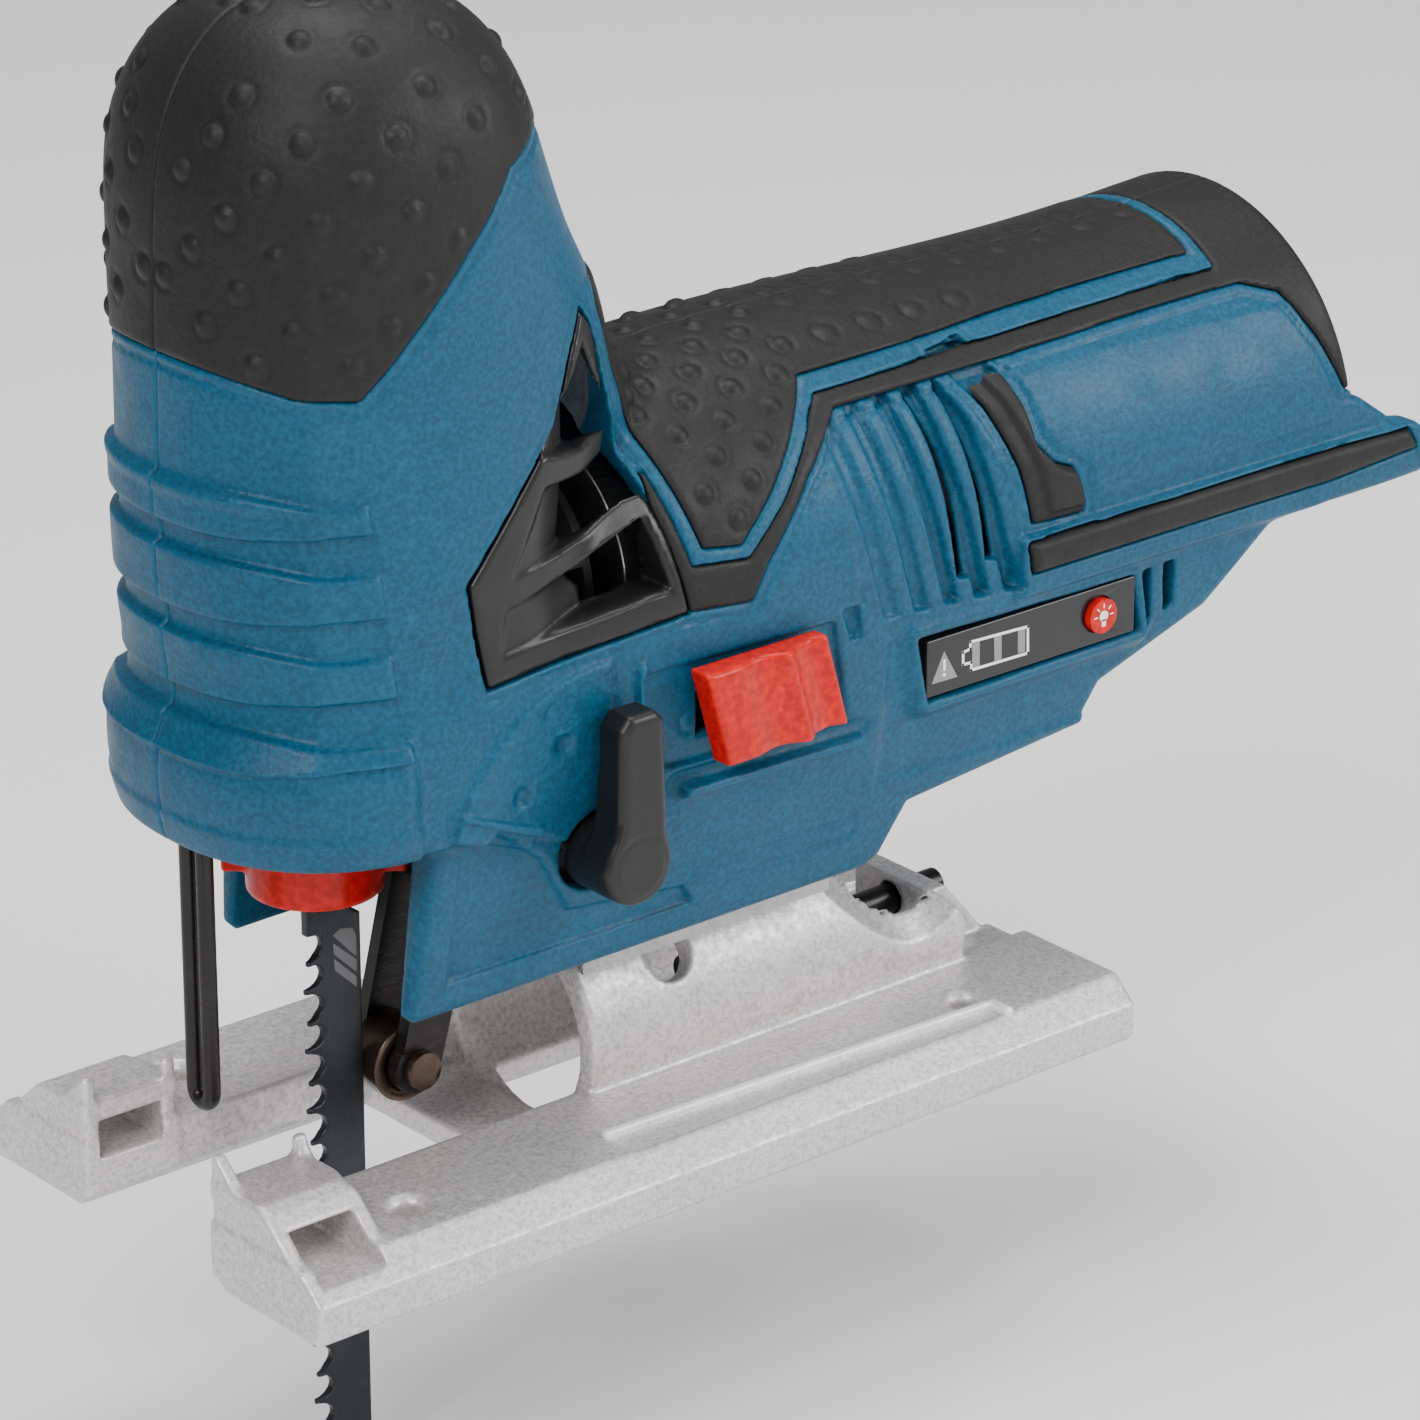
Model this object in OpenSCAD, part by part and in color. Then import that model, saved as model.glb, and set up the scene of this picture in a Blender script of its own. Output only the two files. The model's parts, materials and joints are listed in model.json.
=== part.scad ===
// Cordless barrel-grip jigsaw, shown without its battery.
// Axes: the saw cuts towards -X, -Y is the side with the switch and the lever, +Z is up.
// Origin: centre of the base plate, on the sole, in the plane of the blade.

/* [Base plate] */
// Length of the base plate along the cut
plate_len = 130.6; // [110:0.2:150]
// Width of the base plate
plate_w = 68; // [56:0.5:80]
// Height of the side rails above the sole
rail_h = 8.5; // [6:0.1:12]
// Half width of the gap that the blade runs in
gap_half = 13; // [8:0.5:16]
// Distance between the fixing holes along the plate
hole_dx = 89.2; // [70:0.2:110]
// Distance between the fixing holes across the plate
hole_dy = 48; // [36:0.5:56]
// Radius of the fixing holes
hole_r = 2.1; // [1.5:0.1:3]

/* [Bevel arch] */
// Height of the bevel axis above the sole
bevel_z = 13.1; // [10:0.1:18]
// Outer radius of the arch that the housing rolls on
arch_r = 15.7; // [12:0.1:20]
// Wall of the arch
arch_wall = 3; // [2:0.1:5]
// Front end of the arch
arch_x0 = -9.4; // [-20:0.2:0]
// Rear end of the arch
arch_x1 = 52.6; // [40:0.2:60]
// Place of the clamp screw along the arch
clamp_x = 5; // [0:0.5:20]

/* [Blade drive] */
// Place of the stroke rod's axis along the saw
rod_x = -39.5; // [-45:0.5:-35]
// Radius of the stroke rod
rod_r = 4; // [3:0.1:6]
// Throw of the crank, half of the stroke
crank_r = 9; // [6:0.5:12]
// Width of the blade
blade_w = 8; // [5:0.5:10]
// Thickness of the blade
blade_t = 1.3; // [0.8:0.1:2]
// Pitch of the blade's teeth
tooth_pitch = 4; // [1:0.25:5]
// Height of the blade's tip, below the sole
blade_tip = -40; // [-80:1:-20]
// Radius of the guide roller
roller_r = 5.1; // [4:0.1:7]

/* [Gears] */
// Gear module
gear_m = 0.8; // [0.5:0.1:1.5]
// Teeth of the crank gear
gear_teeth = 45; // [30:1:60]
// Teeth of the motor pinion
pinion_teeth = 9; // [7:1:14]

/* [Motor] */
// Height of the motor's axis
motor_z = 74; // [68:0.5:80]
// Outer radius of the motor
motor_r = 17; // [14:0.5:19]

/* [Housing] */
// Wall of the plastic housing
wall = 3; // [2:0.1:4]
// Thickness of the soft grips on the housing
grip_t = 1; // [0.8:0.1:2]

/* [Controls] */
// Pivot of the orbital lever along the saw
lever_x = -13.8; // [-16:0.1:-10]
// Pivot of the orbital lever above the sole
lever_z = 45.5; // [42:0.5:48]
// Travel of the power switch
switch_travel = 5.5; // [3:0.5:8]

/* [Hidden] */
$fn = 48;
x_front = -plate_len / 2;
x_rear = plate_len / 2;
y_out = plate_w / 2;
arch_in = arch_r - arch_wall;
blade_back = rod_x + 6.1;
blade_front = blade_back - blade_w;
centre_dist = gear_m * (gear_teeth + pinion_teeth) / 2;
crank_z = motor_z + centre_dist;
pin_z = crank_z - crank_r;
swing_z = 131;
fork_x = -19.5;
fork_z = 46;
roller_x = blade_back + roller_r + 0.05;
roller_z = 14.4;
guard_x = -56.8;
fit = 0.05;
blue = [0.16, 0.42, 0.58];
black = [0.09, 0.09, 0.09];
red = [0.86, 0.22, 0.15];
alu = [0.78, 0.75, 0.73];
steel = [0.62, 0.63, 0.65];
brass = [0.78, 0.65, 0.35];

// Column sections: height, front, rear, half width.
column_rings = [
    [52.5, -61, -12, 23.7], [62, -62.3, -9, 25.2], [73, -59, -6, 23.3], [100, -60.5, 3, 23.9],
    [113, -60, -3.4, 24], [130, -59.5, -11, 24], [141, -58, -14, 22.4], [148.5, -53, -20, 16.5],
    [152.3, -42, -31, 6]];
// Body sections: place, underside, half width there, widest half width, its height, top.
body_rings = [
    [-41, 29, 19.5, 22.5, 70, 92], [8, 29.2, 20, 25, 73, 98.8], [32, 30, 20.5, 25.3, 73.5, 98.8],
    [37, 36.6, 20.5, 25.4, 73.5, 98.8], [65, 40.4, 20.8, 25.6, 73.5, 98.8],
    [70, 46, 20.8, 25.6, 73.5, 98.6], [97, 61, 24, 26.5, 73, 97.4], [111, 64, 25.5, 26.8, 71.5, 93],
    [121, 65, 25, 25.8, 68.5, 71]];

// ---------- helpers ----------

module slab(x0, x1, y0, y1, z0, z1) {
    translate([x0, y0, z0]) cube([x1 - x0, y1 - y0, z1 - z0]);
}

module bar_x(x0, x1, y, z, r) {
    translate([x0, y, z]) rotate([0, 90, 0]) cylinder(r = r, h = x1 - x0);
}

module bar_y(x, y0, y1, z, r) {
    translate([x, y1, z]) rotate([90, 0, 0]) cylinder(r = r, h = y1 - y0);
}

module bar_z(x, y, z0, z1, r) {
    translate([x, y, z0]) cylinder(r = r, h = z1 - z0);
}

// A flat outline in X and Z, as thick as y0 to y1.
module side_plate(points, y0, y1) {
    translate([0, y1, 0]) rotate([90, 0, 0]) linear_extrude(y1 - y0) polygon(points);
}

module both_sides() {
    children();
    mirror([0, 1, 0]) children();
}

function super(c, e) = sign(c) * pow(abs(c), e);

// One ring of the column, g inside its surface.
function column_ring(s, g) = [for (i = [0:19]) let (a = i * 18 + 9)
    [(s[1] + s[2]) / 2 + ((s[2] - s[1]) / 2 - g) * super(cos(a), 2 / 2.4),
     (g - s[3]) * super(sin(a), 2 / 2.4), s[0]]];

// One half of a ring of the body, from the underside to the top, g inside its surface.
function body_half(s, g) = concat(
    [[s[2] - g - 2, s[1] + g]],
    [for (u = [0.08, 0.4, 0.7])
        [s[2] - g + (s[3] - s[2]) * sin(90 * u), s[1] + g + (s[4] - s[1] - g) * u]],
    [for (a = [0:20:80]) [(s[3] - g) * cos(a), s[4] + (s[5] - g - s[4]) * sin(a) / sin(80)]]);

function body_ring(s, g) = let (h = body_half(s, g), n = len(h)) concat(
    [for (p = h) [s[0], -p[0], p[1]]],
    [for (i = [n - 1:-1:0]) [s[0], h[i][0], h[i][1]]]);

// Skin over a list of rings that all have the same number of points.
module skin(rings) {
    n = len(rings[0]);
    m = len(rings);
    polyhedron(points = [for (r = rings) for (p = r) p],
        faces = concat([[for (i = [n - 1:-1:0]) i]], [[for (i = [0:n - 1]) (m - 1) * n + i]],
            [for (k = [0:m - 2]) for (i = [0:n - 1]) let (j = (i + 1) % n)
                for (t = [0, 1]) t == 0 ? [k * n + i, k * n + j, (k + 1) * n + j]
                    : [k * n + i, (k + 1) * n + j, (k + 1) * n + i]]));
}

module column_form(g) {
    last = len(column_rings) - 1;
    skin([for (i = [0:last]) let (s = column_rings[i])
        column_ring([i == last ? s[0] - g : i == 0 && g > grip_t ? s[0] - 1 : s[0],
            s[1], s[2], s[3]], i < last - 1 ? g : min(g, 1.5))]);
}

module body_form(g) {
    last = len(body_rings) - 1;
    skin([for (i = [0:last]) let (s = body_rings[i])
        body_ring([g > grip_t ? s[0] + (i == 0 ? 2 : i == last ? 1 : 0) : s[0],
            s[1], s[2], s[3], s[4], s[5]], g)]);
}

// Outlines of the soft grips and the windows, in X and Z.
head_zone = [[-70, 113.5], [-60, 112.6], [-53, 109.6], [-47, 109.4], [-26, 133], [-19, 135.5],
    [-2, 136], [-2, 160], [-70, 160]];
pad_zone = [[-10, 112], [1.2, 80.3], [7, 79.6], [23.8, 94.6], [92, 95.6], [94, 115], [-10, 115]];
stripe_zone = [[-12, 112], [-0.6, 78.7], [8, 77.9], [24.6, 93], [93.6, 94], [95.6, 115], [-12, 115]];
trim_zone = [[-1.2, 73.3], [8, 72.4], [11, 77], [26.5, 91], [59, 91.4], [96, 92], [103, 89],
    [108, 77], [125, 77], [125, 115], [0, 115], [-4, 86]];
grille_zone = [[-33.9, 84.4], [-31.2, 71], [-1.5, 73.3], [-4.4, 86], [-12.2, 110.5], [-15.5, 112],
    [-20.4, 100.6]];
louvres = [
    [[-15, 96.5], [-9.4, 95.6], [-12.6, 103.5]],
    [[-14, 86.8], [-6.6, 88.6], [-8.6, 93.8], [-14, 92.6]],
    [[-13, 75.8], [-3.8, 77], [-5.4, 86.4], [-13, 84.4]]];
rib_slots = [[[37.5, 90], [40.2, 67], [43, 66], [40.9, 78], [40, 90]],
    [[43, 90], [44.3, 80], [46, 68], [48.6, 67.6], [46.2, 82], [45.2, 90]]];
tab_zone = [[43.9, 93.4], [50, 94.2], [53.8, 87.6], [54.8, 82.1], [60.4, 77.5], [62.3, 71.4],
    [53.6, 71.8], [50.8, 82]];
bumper_zone = [[52.2, 68.6], [52.8, 63.8], [103, 63.8], [119.5, 66], [117.5, 69.2], [104, 68.8]];
// Housing screws: place, height, and how far out the head's seat is.
screw_places = [[-54.6, 84, 11], [-13.5, 108, 18], [0, 50, 20], [26, 38.5, 18], [61, 47, 18.4],
    [61, 86, 18.6]];

module half_space() slab(-100, 150, -60, 0, -50, 200);

// One half of the bare shell.
module shell_half() {
    difference() {
        intersection() {
            half_space();
            union() {
                column_form(grip_t);
                body_form(grip_t);
            }
        }
        column_form(wall);
        body_form(wall);
    }
}

// Openings for the blade chamber, the gear frame and the battery.
module chambers() {
    slab(-56, -42, -18, 18, 49, 60);
    slab(-42, -13.5, -17, 17, 20, 58);
    slab(-9, 33, -12.4, 12.4, 20, 36);
    slab(98, 130, -21, 22, 67.7, 85);
}

// Windows for the grille, the soft trim and the cooling air, on both sides.
module air_windows() {
    side_plate(grille_zone, -40, -22);
    slab(-17, -5.5, -40, -15, 76, 94);
    for (z = rib_slots) side_plate(z, -40, -15);
    for (x = [73.6, 77.4]) slab(x, x + 2, -40, -15, 53.2, 59.4);
    side_plate(bumper_zone, -40, -24.6);
    side_plate(tab_zone, -40, -24.2);
}

// Windows for the display, the power switch and the lever, on one side.
module control_windows() {
    slab(36, 71.6, -40, -23.2, 52.4, 60.2);
    slab(38, 69, -40, -15, 53.2, 59.6);
    slab(-8.5, 24, -40, -15, 54.2, 64.2);
    bar_y(lever_x, -40, -10, lever_z, 5.6);
}

module housing_half() {
    difference() {
        shell_half();
        chambers();
        air_windows();
    }
}

module housing_left() color(blue) {
    difference() {
        housing_half();
        control_windows();
    }
}

module housing_right() color(blue) {
    difference() {
        mirror([0, 1, 0]) housing_half();
        for (s = screw_places) bar_y(s[0], 0, 40, s[1], 3);
    }
}

// A soft pad moulded over the column or the body, inside one zone.
module pad_half(zone, on_column) {
    intersection() {
        half_space();
        difference() {
            if (on_column) column_form(0); else body_form(0);
            if (on_column) column_form(grip_t); else body_form(grip_t);
            if (!on_column) column_form(0);
        }
        side_plate(zone, -40, 1);
    }
}

module head_grip_left() color(black) pad_half(head_zone, true);

module head_grip_right() color(black) mirror([0, 1, 0]) pad_half(head_zone, true);

module barrel_grip_left() color(black) pad_half(pad_zone, false);

module barrel_grip_right() color(black) mirror([0, 1, 0]) pad_half(pad_zone, false);

module trim_half() {
    difference() {
        pad_half(trim_zone, false);
        side_plate(stripe_zone, -41, 2);
    }
}

module side_trim_left() color(black) trim_half();

module side_trim_right() color(black) mirror([0, 1, 0]) trim_half();

module vent_grille() {
    difference() {
        side_plate(grille_zone, -25, -22.05);
        for (z = louvres) side_plate(z, -26, -21);
    }
}

module vent_grille_left() color(black) vent_grille();

module vent_grille_right() color(black) mirror([0, 1, 0]) vent_grille();

module side_tab() side_plate(tab_zone, -25.8, -24.25);

module side_tabs() color(black) both_sides() side_tab();

module bumpers() color(black) both_sides() side_plate(bumper_zone, -28, -24.65);

module rail() {
    translate([x_front, 0, 0]) rotate([90, 0, 90]) linear_extrude(plate_len)
        polygon([[gap_half + 2, 0], [y_out - 0.8, 0], [y_out, 0.8], [y_out, 5.2], [y_out - 3.6, rail_h],
            [gap_half, rail_h], [gap_half, 2]]);
}

module guide_block() {
    difference() {
        union() {
            translate([x_front, 0, 0]) rotate([90, 0, 90]) linear_extrude(13.4)
                polygon([[gap_half, 2], [y_out - 2, 2], [y_out - 5, rail_h], [23.6, 13.2], [22, 14],
                    [gap_half, 14]]);
            slab(x_front, x_front + 1.6, gap_half, gap_half + 4, 13, 17.4);
            slab(x_front + 11.8, x_front + 13.4, gap_half, gap_half + 1.6, 13, 16.6);
        }
        slab(x_front + 2, x_front + 11.4, 10, y_out + 1, guide_z0, guide_z1);
    }
}

guide_z0 = 6.6;
guide_z1 = 11.4;

module base_plate() color(alu) {
    difference() {
        union() {
            difference() {
                union() {
                    both_sides() rail();
                    slab(-22, x_rear, -gap_half - 1, gap_half + 1, 0, 3.5);
                    slab(53.5, x_rear, -gap_half - 1, gap_half + 1, 0, 7);
                    bar_x(arch_x0, arch_x1, 0, bevel_z, arch_r);
                }
                bar_x(arch_x0 - 1, arch_x1 + 0.01, 0, bevel_z, arch_in);
                slab(arch_x0 - 30, 100, -40, 40, -20, 0);
                side_plate([[41.5, 30], [41.5, 28.9], [52.7, 14.5], [54, 14.5], [54, 30]], -20, 20);
            }
            both_sides() guide_block();
            side_plate([[53.2, 2], [53.2, 15.2], [56.6, 15.2], [63.6, 7], [63.6, 2]], -7, 7);
        }
        both_sides() slab(x_front + 2, x_front + 11.4, 10, y_out + 1, guide_z0, guide_z1);
        for (x = [-1, 1]) for (y = [-1, 1])
            bar_z(x * hole_dx / 2, y * hole_dy / 2, -1, 20, hole_r);
        // Arc slot that the clamp screw follows when the housing tilts.
        translate([clamp_x - 3.5, 0, bevel_z]) rotate([0, 90, 0]) rotate([0, 0, 116])
            rotate_extrude(angle = 128) translate([arch_in - 1, 0]) square([arch_wall + 2, 7]);
        slab(arch_x0 + 3, 46, -8, 8, -1, 4);
        bar_x(50, 70, 0, key_z, key_r + fit);
        slab(x_rear - 3, x_rear + 1, -6, 6, 5.5, 9);
    }
}

key_z = 12;
key_r = 2;

module hex_key() color(black) bar_x(18, 61, 0, key_z, key_r);

// ---------- bevel clamp ----------

module bevel_screw() color(steel) {
    difference() {
        union() {
            bar_z(clamp_x, 0, bevel_z + 5.6, bevel_z + 10.3, 4.2);
            bar_z(clamp_x, 0, bevel_z + 10, 38, 2.5);
        }
        translate([clamp_x, 0, bevel_z + 5]) cylinder(r = 2.3, h = 3.2, $fn = 6);
    }
}

module bevel_washer() color(steel) {
    difference() {
        translate([clamp_x - 5, 0, bevel_z]) rotate([0, 90, 0]) rotate([0, 0, 155])
            rotate_extrude(angle = 50) translate([10.35, 0]) square([arch_in - 10.35 - fit, 10]);
        bar_z(clamp_x, 0, 10, 40, 2.6);
        slab(clamp_x - 6, clamp_x + 6, -6, 6, bevel_z, bevel_z + 10.35);
    }
}

module bevel_nut() color(steel) {
    difference() {
        translate([clamp_x - 4, -4, 34.45]) cube([8, 8, 4]);
        bar_z(clamp_x, 0, 30, 40, 2.52);
    }
}

// ---------- gear frame and its bearings ----------

module gear_frame() color(alu) {
    difference() {
        union() {
            slab(-8, 32, -12, 12, 22, 34);
            slab(-23, 28, -15.2, 15.2, 33, 34.4);
            slab(-23, -19.5, -16.6, 16.6, 33, 118);
            slab(-23, -19.5, -12.6, 12.6, 117, 136);
            both_sides() slab(-24.5, -4, 10.5, 13.5, 33, 56);
            both_sides() slab(-44.5, -19.5, 9.8, 12.6, 126, 136);
            bar_x(-24, -16.6, 0, motor_z, 8);
            slab(clamp_x - 6, clamp_x + 6, -6, 6, 32, 39);
        }
        bar_x(-9, 33, 0, bevel_z, arch_r + 0.08);
        bar_z(clamp_x, 0, 15, 40, 2.6);
        slab(clamp_x - 4.05, clamp_x + 4.05, -4.05, 4.05, 34.4, 40);
        bar_x(-30, -10, 0, motor_z, 5.52);
        bar_x(-30, -10, 0, crank_z, 3.02);
        bar_y(fork_x, -20, 20, fork_z, 2.02);
        bar_y(lever_x, -20, 20, lever_z, 3 + fit);
        bar_y(rod_x, -20, 20, swing_z, 2.5 + fit);
        slab(-25, -13, -10.4, 10.4, 20, 53);
        slab(-24, -19, -9, 9, 46, 62);
    }
}

module motor_bearings() color(steel) {
    for (x = [-23, 48.2]) difference() {
        bar_x(x, x + 4, 0, motor_z, 5.5);
        bar_x(x - 1, x + 5, 0, motor_z, 1.62);
    }
}

module gear_axle() color(steel) bar_x(-30.6, -17.5, 0, crank_z, 3);

// ---------- motor ----------

module motor_can() color(steel) {
    difference() {
        bar_x(-5, 48, 0, motor_z, motor_r);
        bar_x(-3.5, 49, 0, motor_z, motor_r - 1.5);
        bar_x(-6, 0, 0, motor_z, 6);
        for (a = [0:60:300]) translate([0, 0, motor_z]) rotate([a, 0, 0]) bar_x(-6, -2, 0, 11, 2);
    }
}

module motor_magnets() color([0.25, 0.25, 0.27]) {
    difference() {
        bar_x(2, 36, 0, motor_z, motor_r - 1.55);
        bar_x(1, 37, 0, motor_z, 12.6);
        slab(1, 37, -20, 20, motor_z - 4, motor_z + 4);
    }
}

module motor_end_cap() color(black) {
    difference() {
        union() {
            bar_x(48.1, 52, 0, motor_z, motor_r);
            bar_x(46, 48.1, 0, motor_z, motor_r - 1.6);
        }
        bar_x(45, 48.1, 0, motor_z, 12);
        bar_x(45, 55, 0, motor_z, 5.52);
    }
}

module motor_brushes() color([0.2, 0.2, 0.2]) {
    both_sides() slab(40, 45, 5.1, 13, motor_z - 2.2, motor_z + 2.2);
}

module motor_shaft() color(steel) bar_x(-31.4, 53.5, 0, motor_z, 1.6);

module armature() color([0.45, 0.3, 0.2]) {
    difference() {
        bar_x(4, 34, 0, motor_z, 11.9);
        bar_x(3, 35, 0, motor_z, 1.61);
        for (a = [0:72:288]) translate([0, 0, motor_z]) rotate([a, 0, 0])
            slab(3, 35, -0.9, 0.9, 7, 13);
    }
}

module commutator() color(brass) {
    difference() {
        bar_x(38.5, 46, 0, motor_z, 4.8);
        bar_x(38, 47, 0, motor_z, 1.61);
    }
}

module fan() color([0.2, 0.2, 0.22]) {
    difference() {
        union() {
            bar_x(-15.8, -8, 0, motor_z, 3.6);
            bar_x(-9.2, -8, 0, motor_z, 14.6);
            for (a = [0:36:324]) translate([0, 0, motor_z]) rotate([a, 0, 0])
                slab(-15.8, -9, -0.5, 0.5, 3.3, 14.6);
        }
        bar_x(-17, -7, 0, motor_z, 1.61);
    }
}

// ---------- gears ----------

// Involute of the tooth flank, as an angle.
function inv(a) = tan(a) * 180 / PI - a;

function flank(r, base_r, half) = half + inv(20) - inv(acos(min(1, base_r / r)));

module gear_blank(teeth, tip, root, width) {
    pitch_r = gear_m * teeth / 2;
    base_r = pitch_r * cos(20);
    half = 90 / teeth - 0.045 / pitch_r * 180 / PI;
    start = max(root, base_r);
    steps = [for (i = [0:4]) start + (tip - start) * i / 4];
    rotate([0, 90, 0]) linear_extrude(width) polygon([for (t = [0:teeth - 1])
        let (c = t * 360 / teeth) each concat(
            [[root * cos(c - 180 / teeth * 0.86), root * sin(c - 180 / teeth * 0.86)]],
            [for (r = steps) let (a = c - flank(r, base_r, half)) [r * cos(a), r * sin(a)]],
            [for (i = [4:-1:0]) let (r = steps[i], a = c + flank(r, base_r, half))
                [r * cos(a), r * sin(a)]],
            [[root * cos(c + 180 / teeth * 0.86), root * sin(c + 180 / teeth * 0.86)]])]);
}

module crank_gear() color(steel) {
    difference() {
        translate([-30.3, 0, crank_z]) gear_blank(gear_teeth, 18.5, 17.0, 5);
        bar_x(-32, -24, 0, crank_z, 3 + fit);
        bar_x(-32, -24, 0, pin_z, 2);
        for (a = [60, 120, 180, 240, 300]) translate([0, 0, crank_z]) rotate([a, 0, 0])
            bar_x(-32, -24, 0, -10.5, 3.2);
    }
}

module crank_pin() color(steel) bar_x(-35.1, -25.6, 0, pin_z, 1.99);

module crank_roller() color(steel) {
    difference() {
        bar_x(-35, -31.2, 0, pin_z, 3);
        bar_x(-36, -30, 0, pin_z, 2.01);
    }
}

module motor_pinion() color(steel) {
    difference() {
        translate([-31, 0, motor_z]) gear_blank(pinion_teeth, 4.4, 2.75, 6.6);
        bar_x(-32, -23, 0, motor_z, 1.61);
    }
}

// ---------- stroke rod, guides and blade ----------

module rod_guide() color(alu) {
    difference() {
        union() {
            slab(rod_x - 6.5, rod_x + 6.5, -9, 9, 121, 141);
            slab(-51.5, rod_x - 6.4, -5, 5, 69.6, 141);
            slab(-51.5, rod_x + 6.5, -8, 8, 69.6, 78.4);
            both_sides() bar_y(rod_x, 8.9, 12.4, swing_z, 2.5);
        }
        bar_z(rod_x, 0, 60, 150, 5.5);
        slab(rod_x - 6.3, rod_x + 10, -10, 10, 78.5, 120.9);
    }
}

module rod_bush(z0, z1) {
    difference() {
        bar_z(rod_x, 0, z0, z1, 5.48);
        bar_z(rod_x, 0, z0 - 1, z1 + 1, rod_r + fit);
    }
}

module upper_bush() color(brass) rod_bush(121.2, 134);

module lower_bush() color(brass) rod_bush(69.8, 78.2);

module stroke_rod() color(steel) {
    difference() {
        bar_z(rod_x, 0, 46, 128.5, rod_r);
        slab(rod_x - 5, rod_x + 5, -0.75, 0.75, 45, 60);
    }
}

module yoke() color(steel) {
    difference() {
        union() {
            slab(-35.3, -31.4, -15, 15, pin_z - 7.4, pin_z + 7.4);
            bar_z(rod_x, 0, pin_z - 7.4, pin_z + 7.4, 5.6);
        }
        bar_z(rod_x, 0, 70, 110, rod_r + 0.01);
        slab(-35.4, -30, -12.7, 12.7, pin_z - 5.2, pin_z + 5.2);
    }
}

// Lower end of the collar.
collar_z = 40.4;

module clamp_body() color(steel) {
    difference() {
        union() {
            bar_z(rod_x, 0, collar_z + 1.2, 51, 5.2);
            bar_z(rod_x, 0, 49.6, 51, 7);
        }
        bar_z(rod_x, 0, 46, 53, rod_r + 0.01);
        slab(rod_x - 4.3, rod_x + 4.3, -0.8, 0.8, collar_z, 47);
    }
}

module clamp_collar() color(red) {
    difference() {
        union() {
            bar_z(rod_x, 0, collar_z, 47.4, 8.4);
            for (a = [-40, 140]) translate([rod_x, 0, collar_z + 2.6]) rotate([0, 0, a])
                translate([0, -2.6, 0]) cube([11.2, 5.2, 4.2]);
        }
        bar_z(rod_x, 0, collar_z - 1, collar_z + 1.6, 6.6);
        bar_z(rod_x, 0, collar_z + 1, 48, 5.2 + fit);
    }
}

module clamp_spring() color(steel) {
    for (z = [48, 49.1]) translate([rod_x, 0, z]) rotate_extrude() translate([5.9, 0])
        circle(r = 0.4, $fn = 24);
    slab(rod_x + 5.7, rod_x + 6.1, -0.3, 0.3, 48, 49.1);
}

// Teeth point forwards, with a rounded gullet under each.
module blade() color([0.2, 0.21, 0.22]) {
    teeth = floor((34 - blade_tip - 8) / tooth_pitch);
    outline = concat(
        [[blade_back, blade_tip], [blade_back, 35.4], [rod_x + 4, 36.8], [rod_x + 3.2, 38],
         [rod_x + 3.2, 55.4], [rod_x + 1.6, 57], [rod_x - 1.6, 57], [rod_x - 3.2, 55.4],
         [rod_x - 3.2, 38], [blade_front, 36]],
        [for (i = [0:teeth - 1]) let (z = 34 - i * tooth_pitch) each
            [[blade_front + 1.9, z], [blade_front + 2.3, z - 1.1], [blade_front + 1.6, z - 2.2],
             [blade_front, z - 3.3], [blade_front + 0.5, z - 3.9]]],
        [[blade_front + 2.4, blade_tip + 3], [blade_front + 4.4, blade_tip]]);
    side_plate(outline, -blade_t / 2, blade_t / 2);
}

// ---------- guide roller ----------

module roller_fork() color(black) {
    difference() {
        union() {
            both_sides() {
                bar_y(roller_x, 3.1, 5, roller_z, 3.4);
                bar_y(fork_x, 3.1, 5, fork_z, 4);
                side_plate([[roller_x - 2.6, roller_z + 1], [roller_x + 3.3, roller_z - 0.8],
                    [fork_x + 4, fork_z], [fork_x - 3.6, fork_z + 1.6]], 3.1, 5);
            }
            bar_y(fork_x, -5, 5, fork_z, 4);
            slab(fork_x - 4.2, fork_x + 2.4, -5, 5, 36.5, 44);
        }
        bar_y(fork_x, -10, 10, fork_z, 2 + fit);
        bar_y(roller_x, -10, 10, roller_z, 1.61);
        slab(-31, fork_x - 3.9, -0.9, 0.9, 30, 60);
    }
}

module fork_pin() color(steel) bar_y(fork_x, -13.4, 13.4, fork_z, 2);

module roller_pin() color(steel) {
    bar_y(roller_x, -6, 6, roller_z, 1.6);
    both_sides() bar_y(roller_x, 5.05, 6.4, roller_z, 2.4);
}

module guide_roller() color([0.2, 0.17, 0.15]) {
    difference() {
        bar_y(roller_x, -2.9, 2.9, roller_z, roller_r);
        bar_y(roller_x, -3.5, 3.5, roller_z, 1.6 + fit);
        both_sides() bar_y(roller_x, 2.3, 3.5, roller_z, 3.6);
    }
}

// ---------- guard ----------

module guard_wire() color(black) {
    both_sides() bar_z(guard_x, 1.65, 18.7, 64, 1.1);
    translate([guard_x, 0, 18.7]) rotate([90, 0, 90]) rotate([0, 0, 180])
        rotate_extrude(angle = 180) translate([1.65, 0]) circle(r = 1.1, $fn = 32);
}

module guard_clip() color(black) {
    difference() {
        slab(guard_x - 1.4, guard_x + 3.4, -5, 5, 57, 63);
        both_sides() bar_z(guard_x, 1.65, 50, 70, 1.12);
        slab(guard_x - 1.12, guard_x + 1.12, -1.65, 1.65, 50, 70);
    }
}

// ---------- controls ----------

module orbital_lever() color(black) {
    difference() {
        union() {
            bar_y(lever_x, -30.6, -24.2, lever_z, 4.8);
            side_plate([[lever_x - 3, lever_z], [lever_x - 2, lever_z + 18.6],
                [lever_x - 1, lever_z + 19.6], [lever_x + 3.6, lever_z + 19.6],
                [lever_x + 4.4, lever_z + 18.6], [lever_x + 4.6, lever_z]], -30.6, -26.2);
        }
        bar_y(lever_x, -28, -24, lever_z, 2.3);
    }
}

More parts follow.
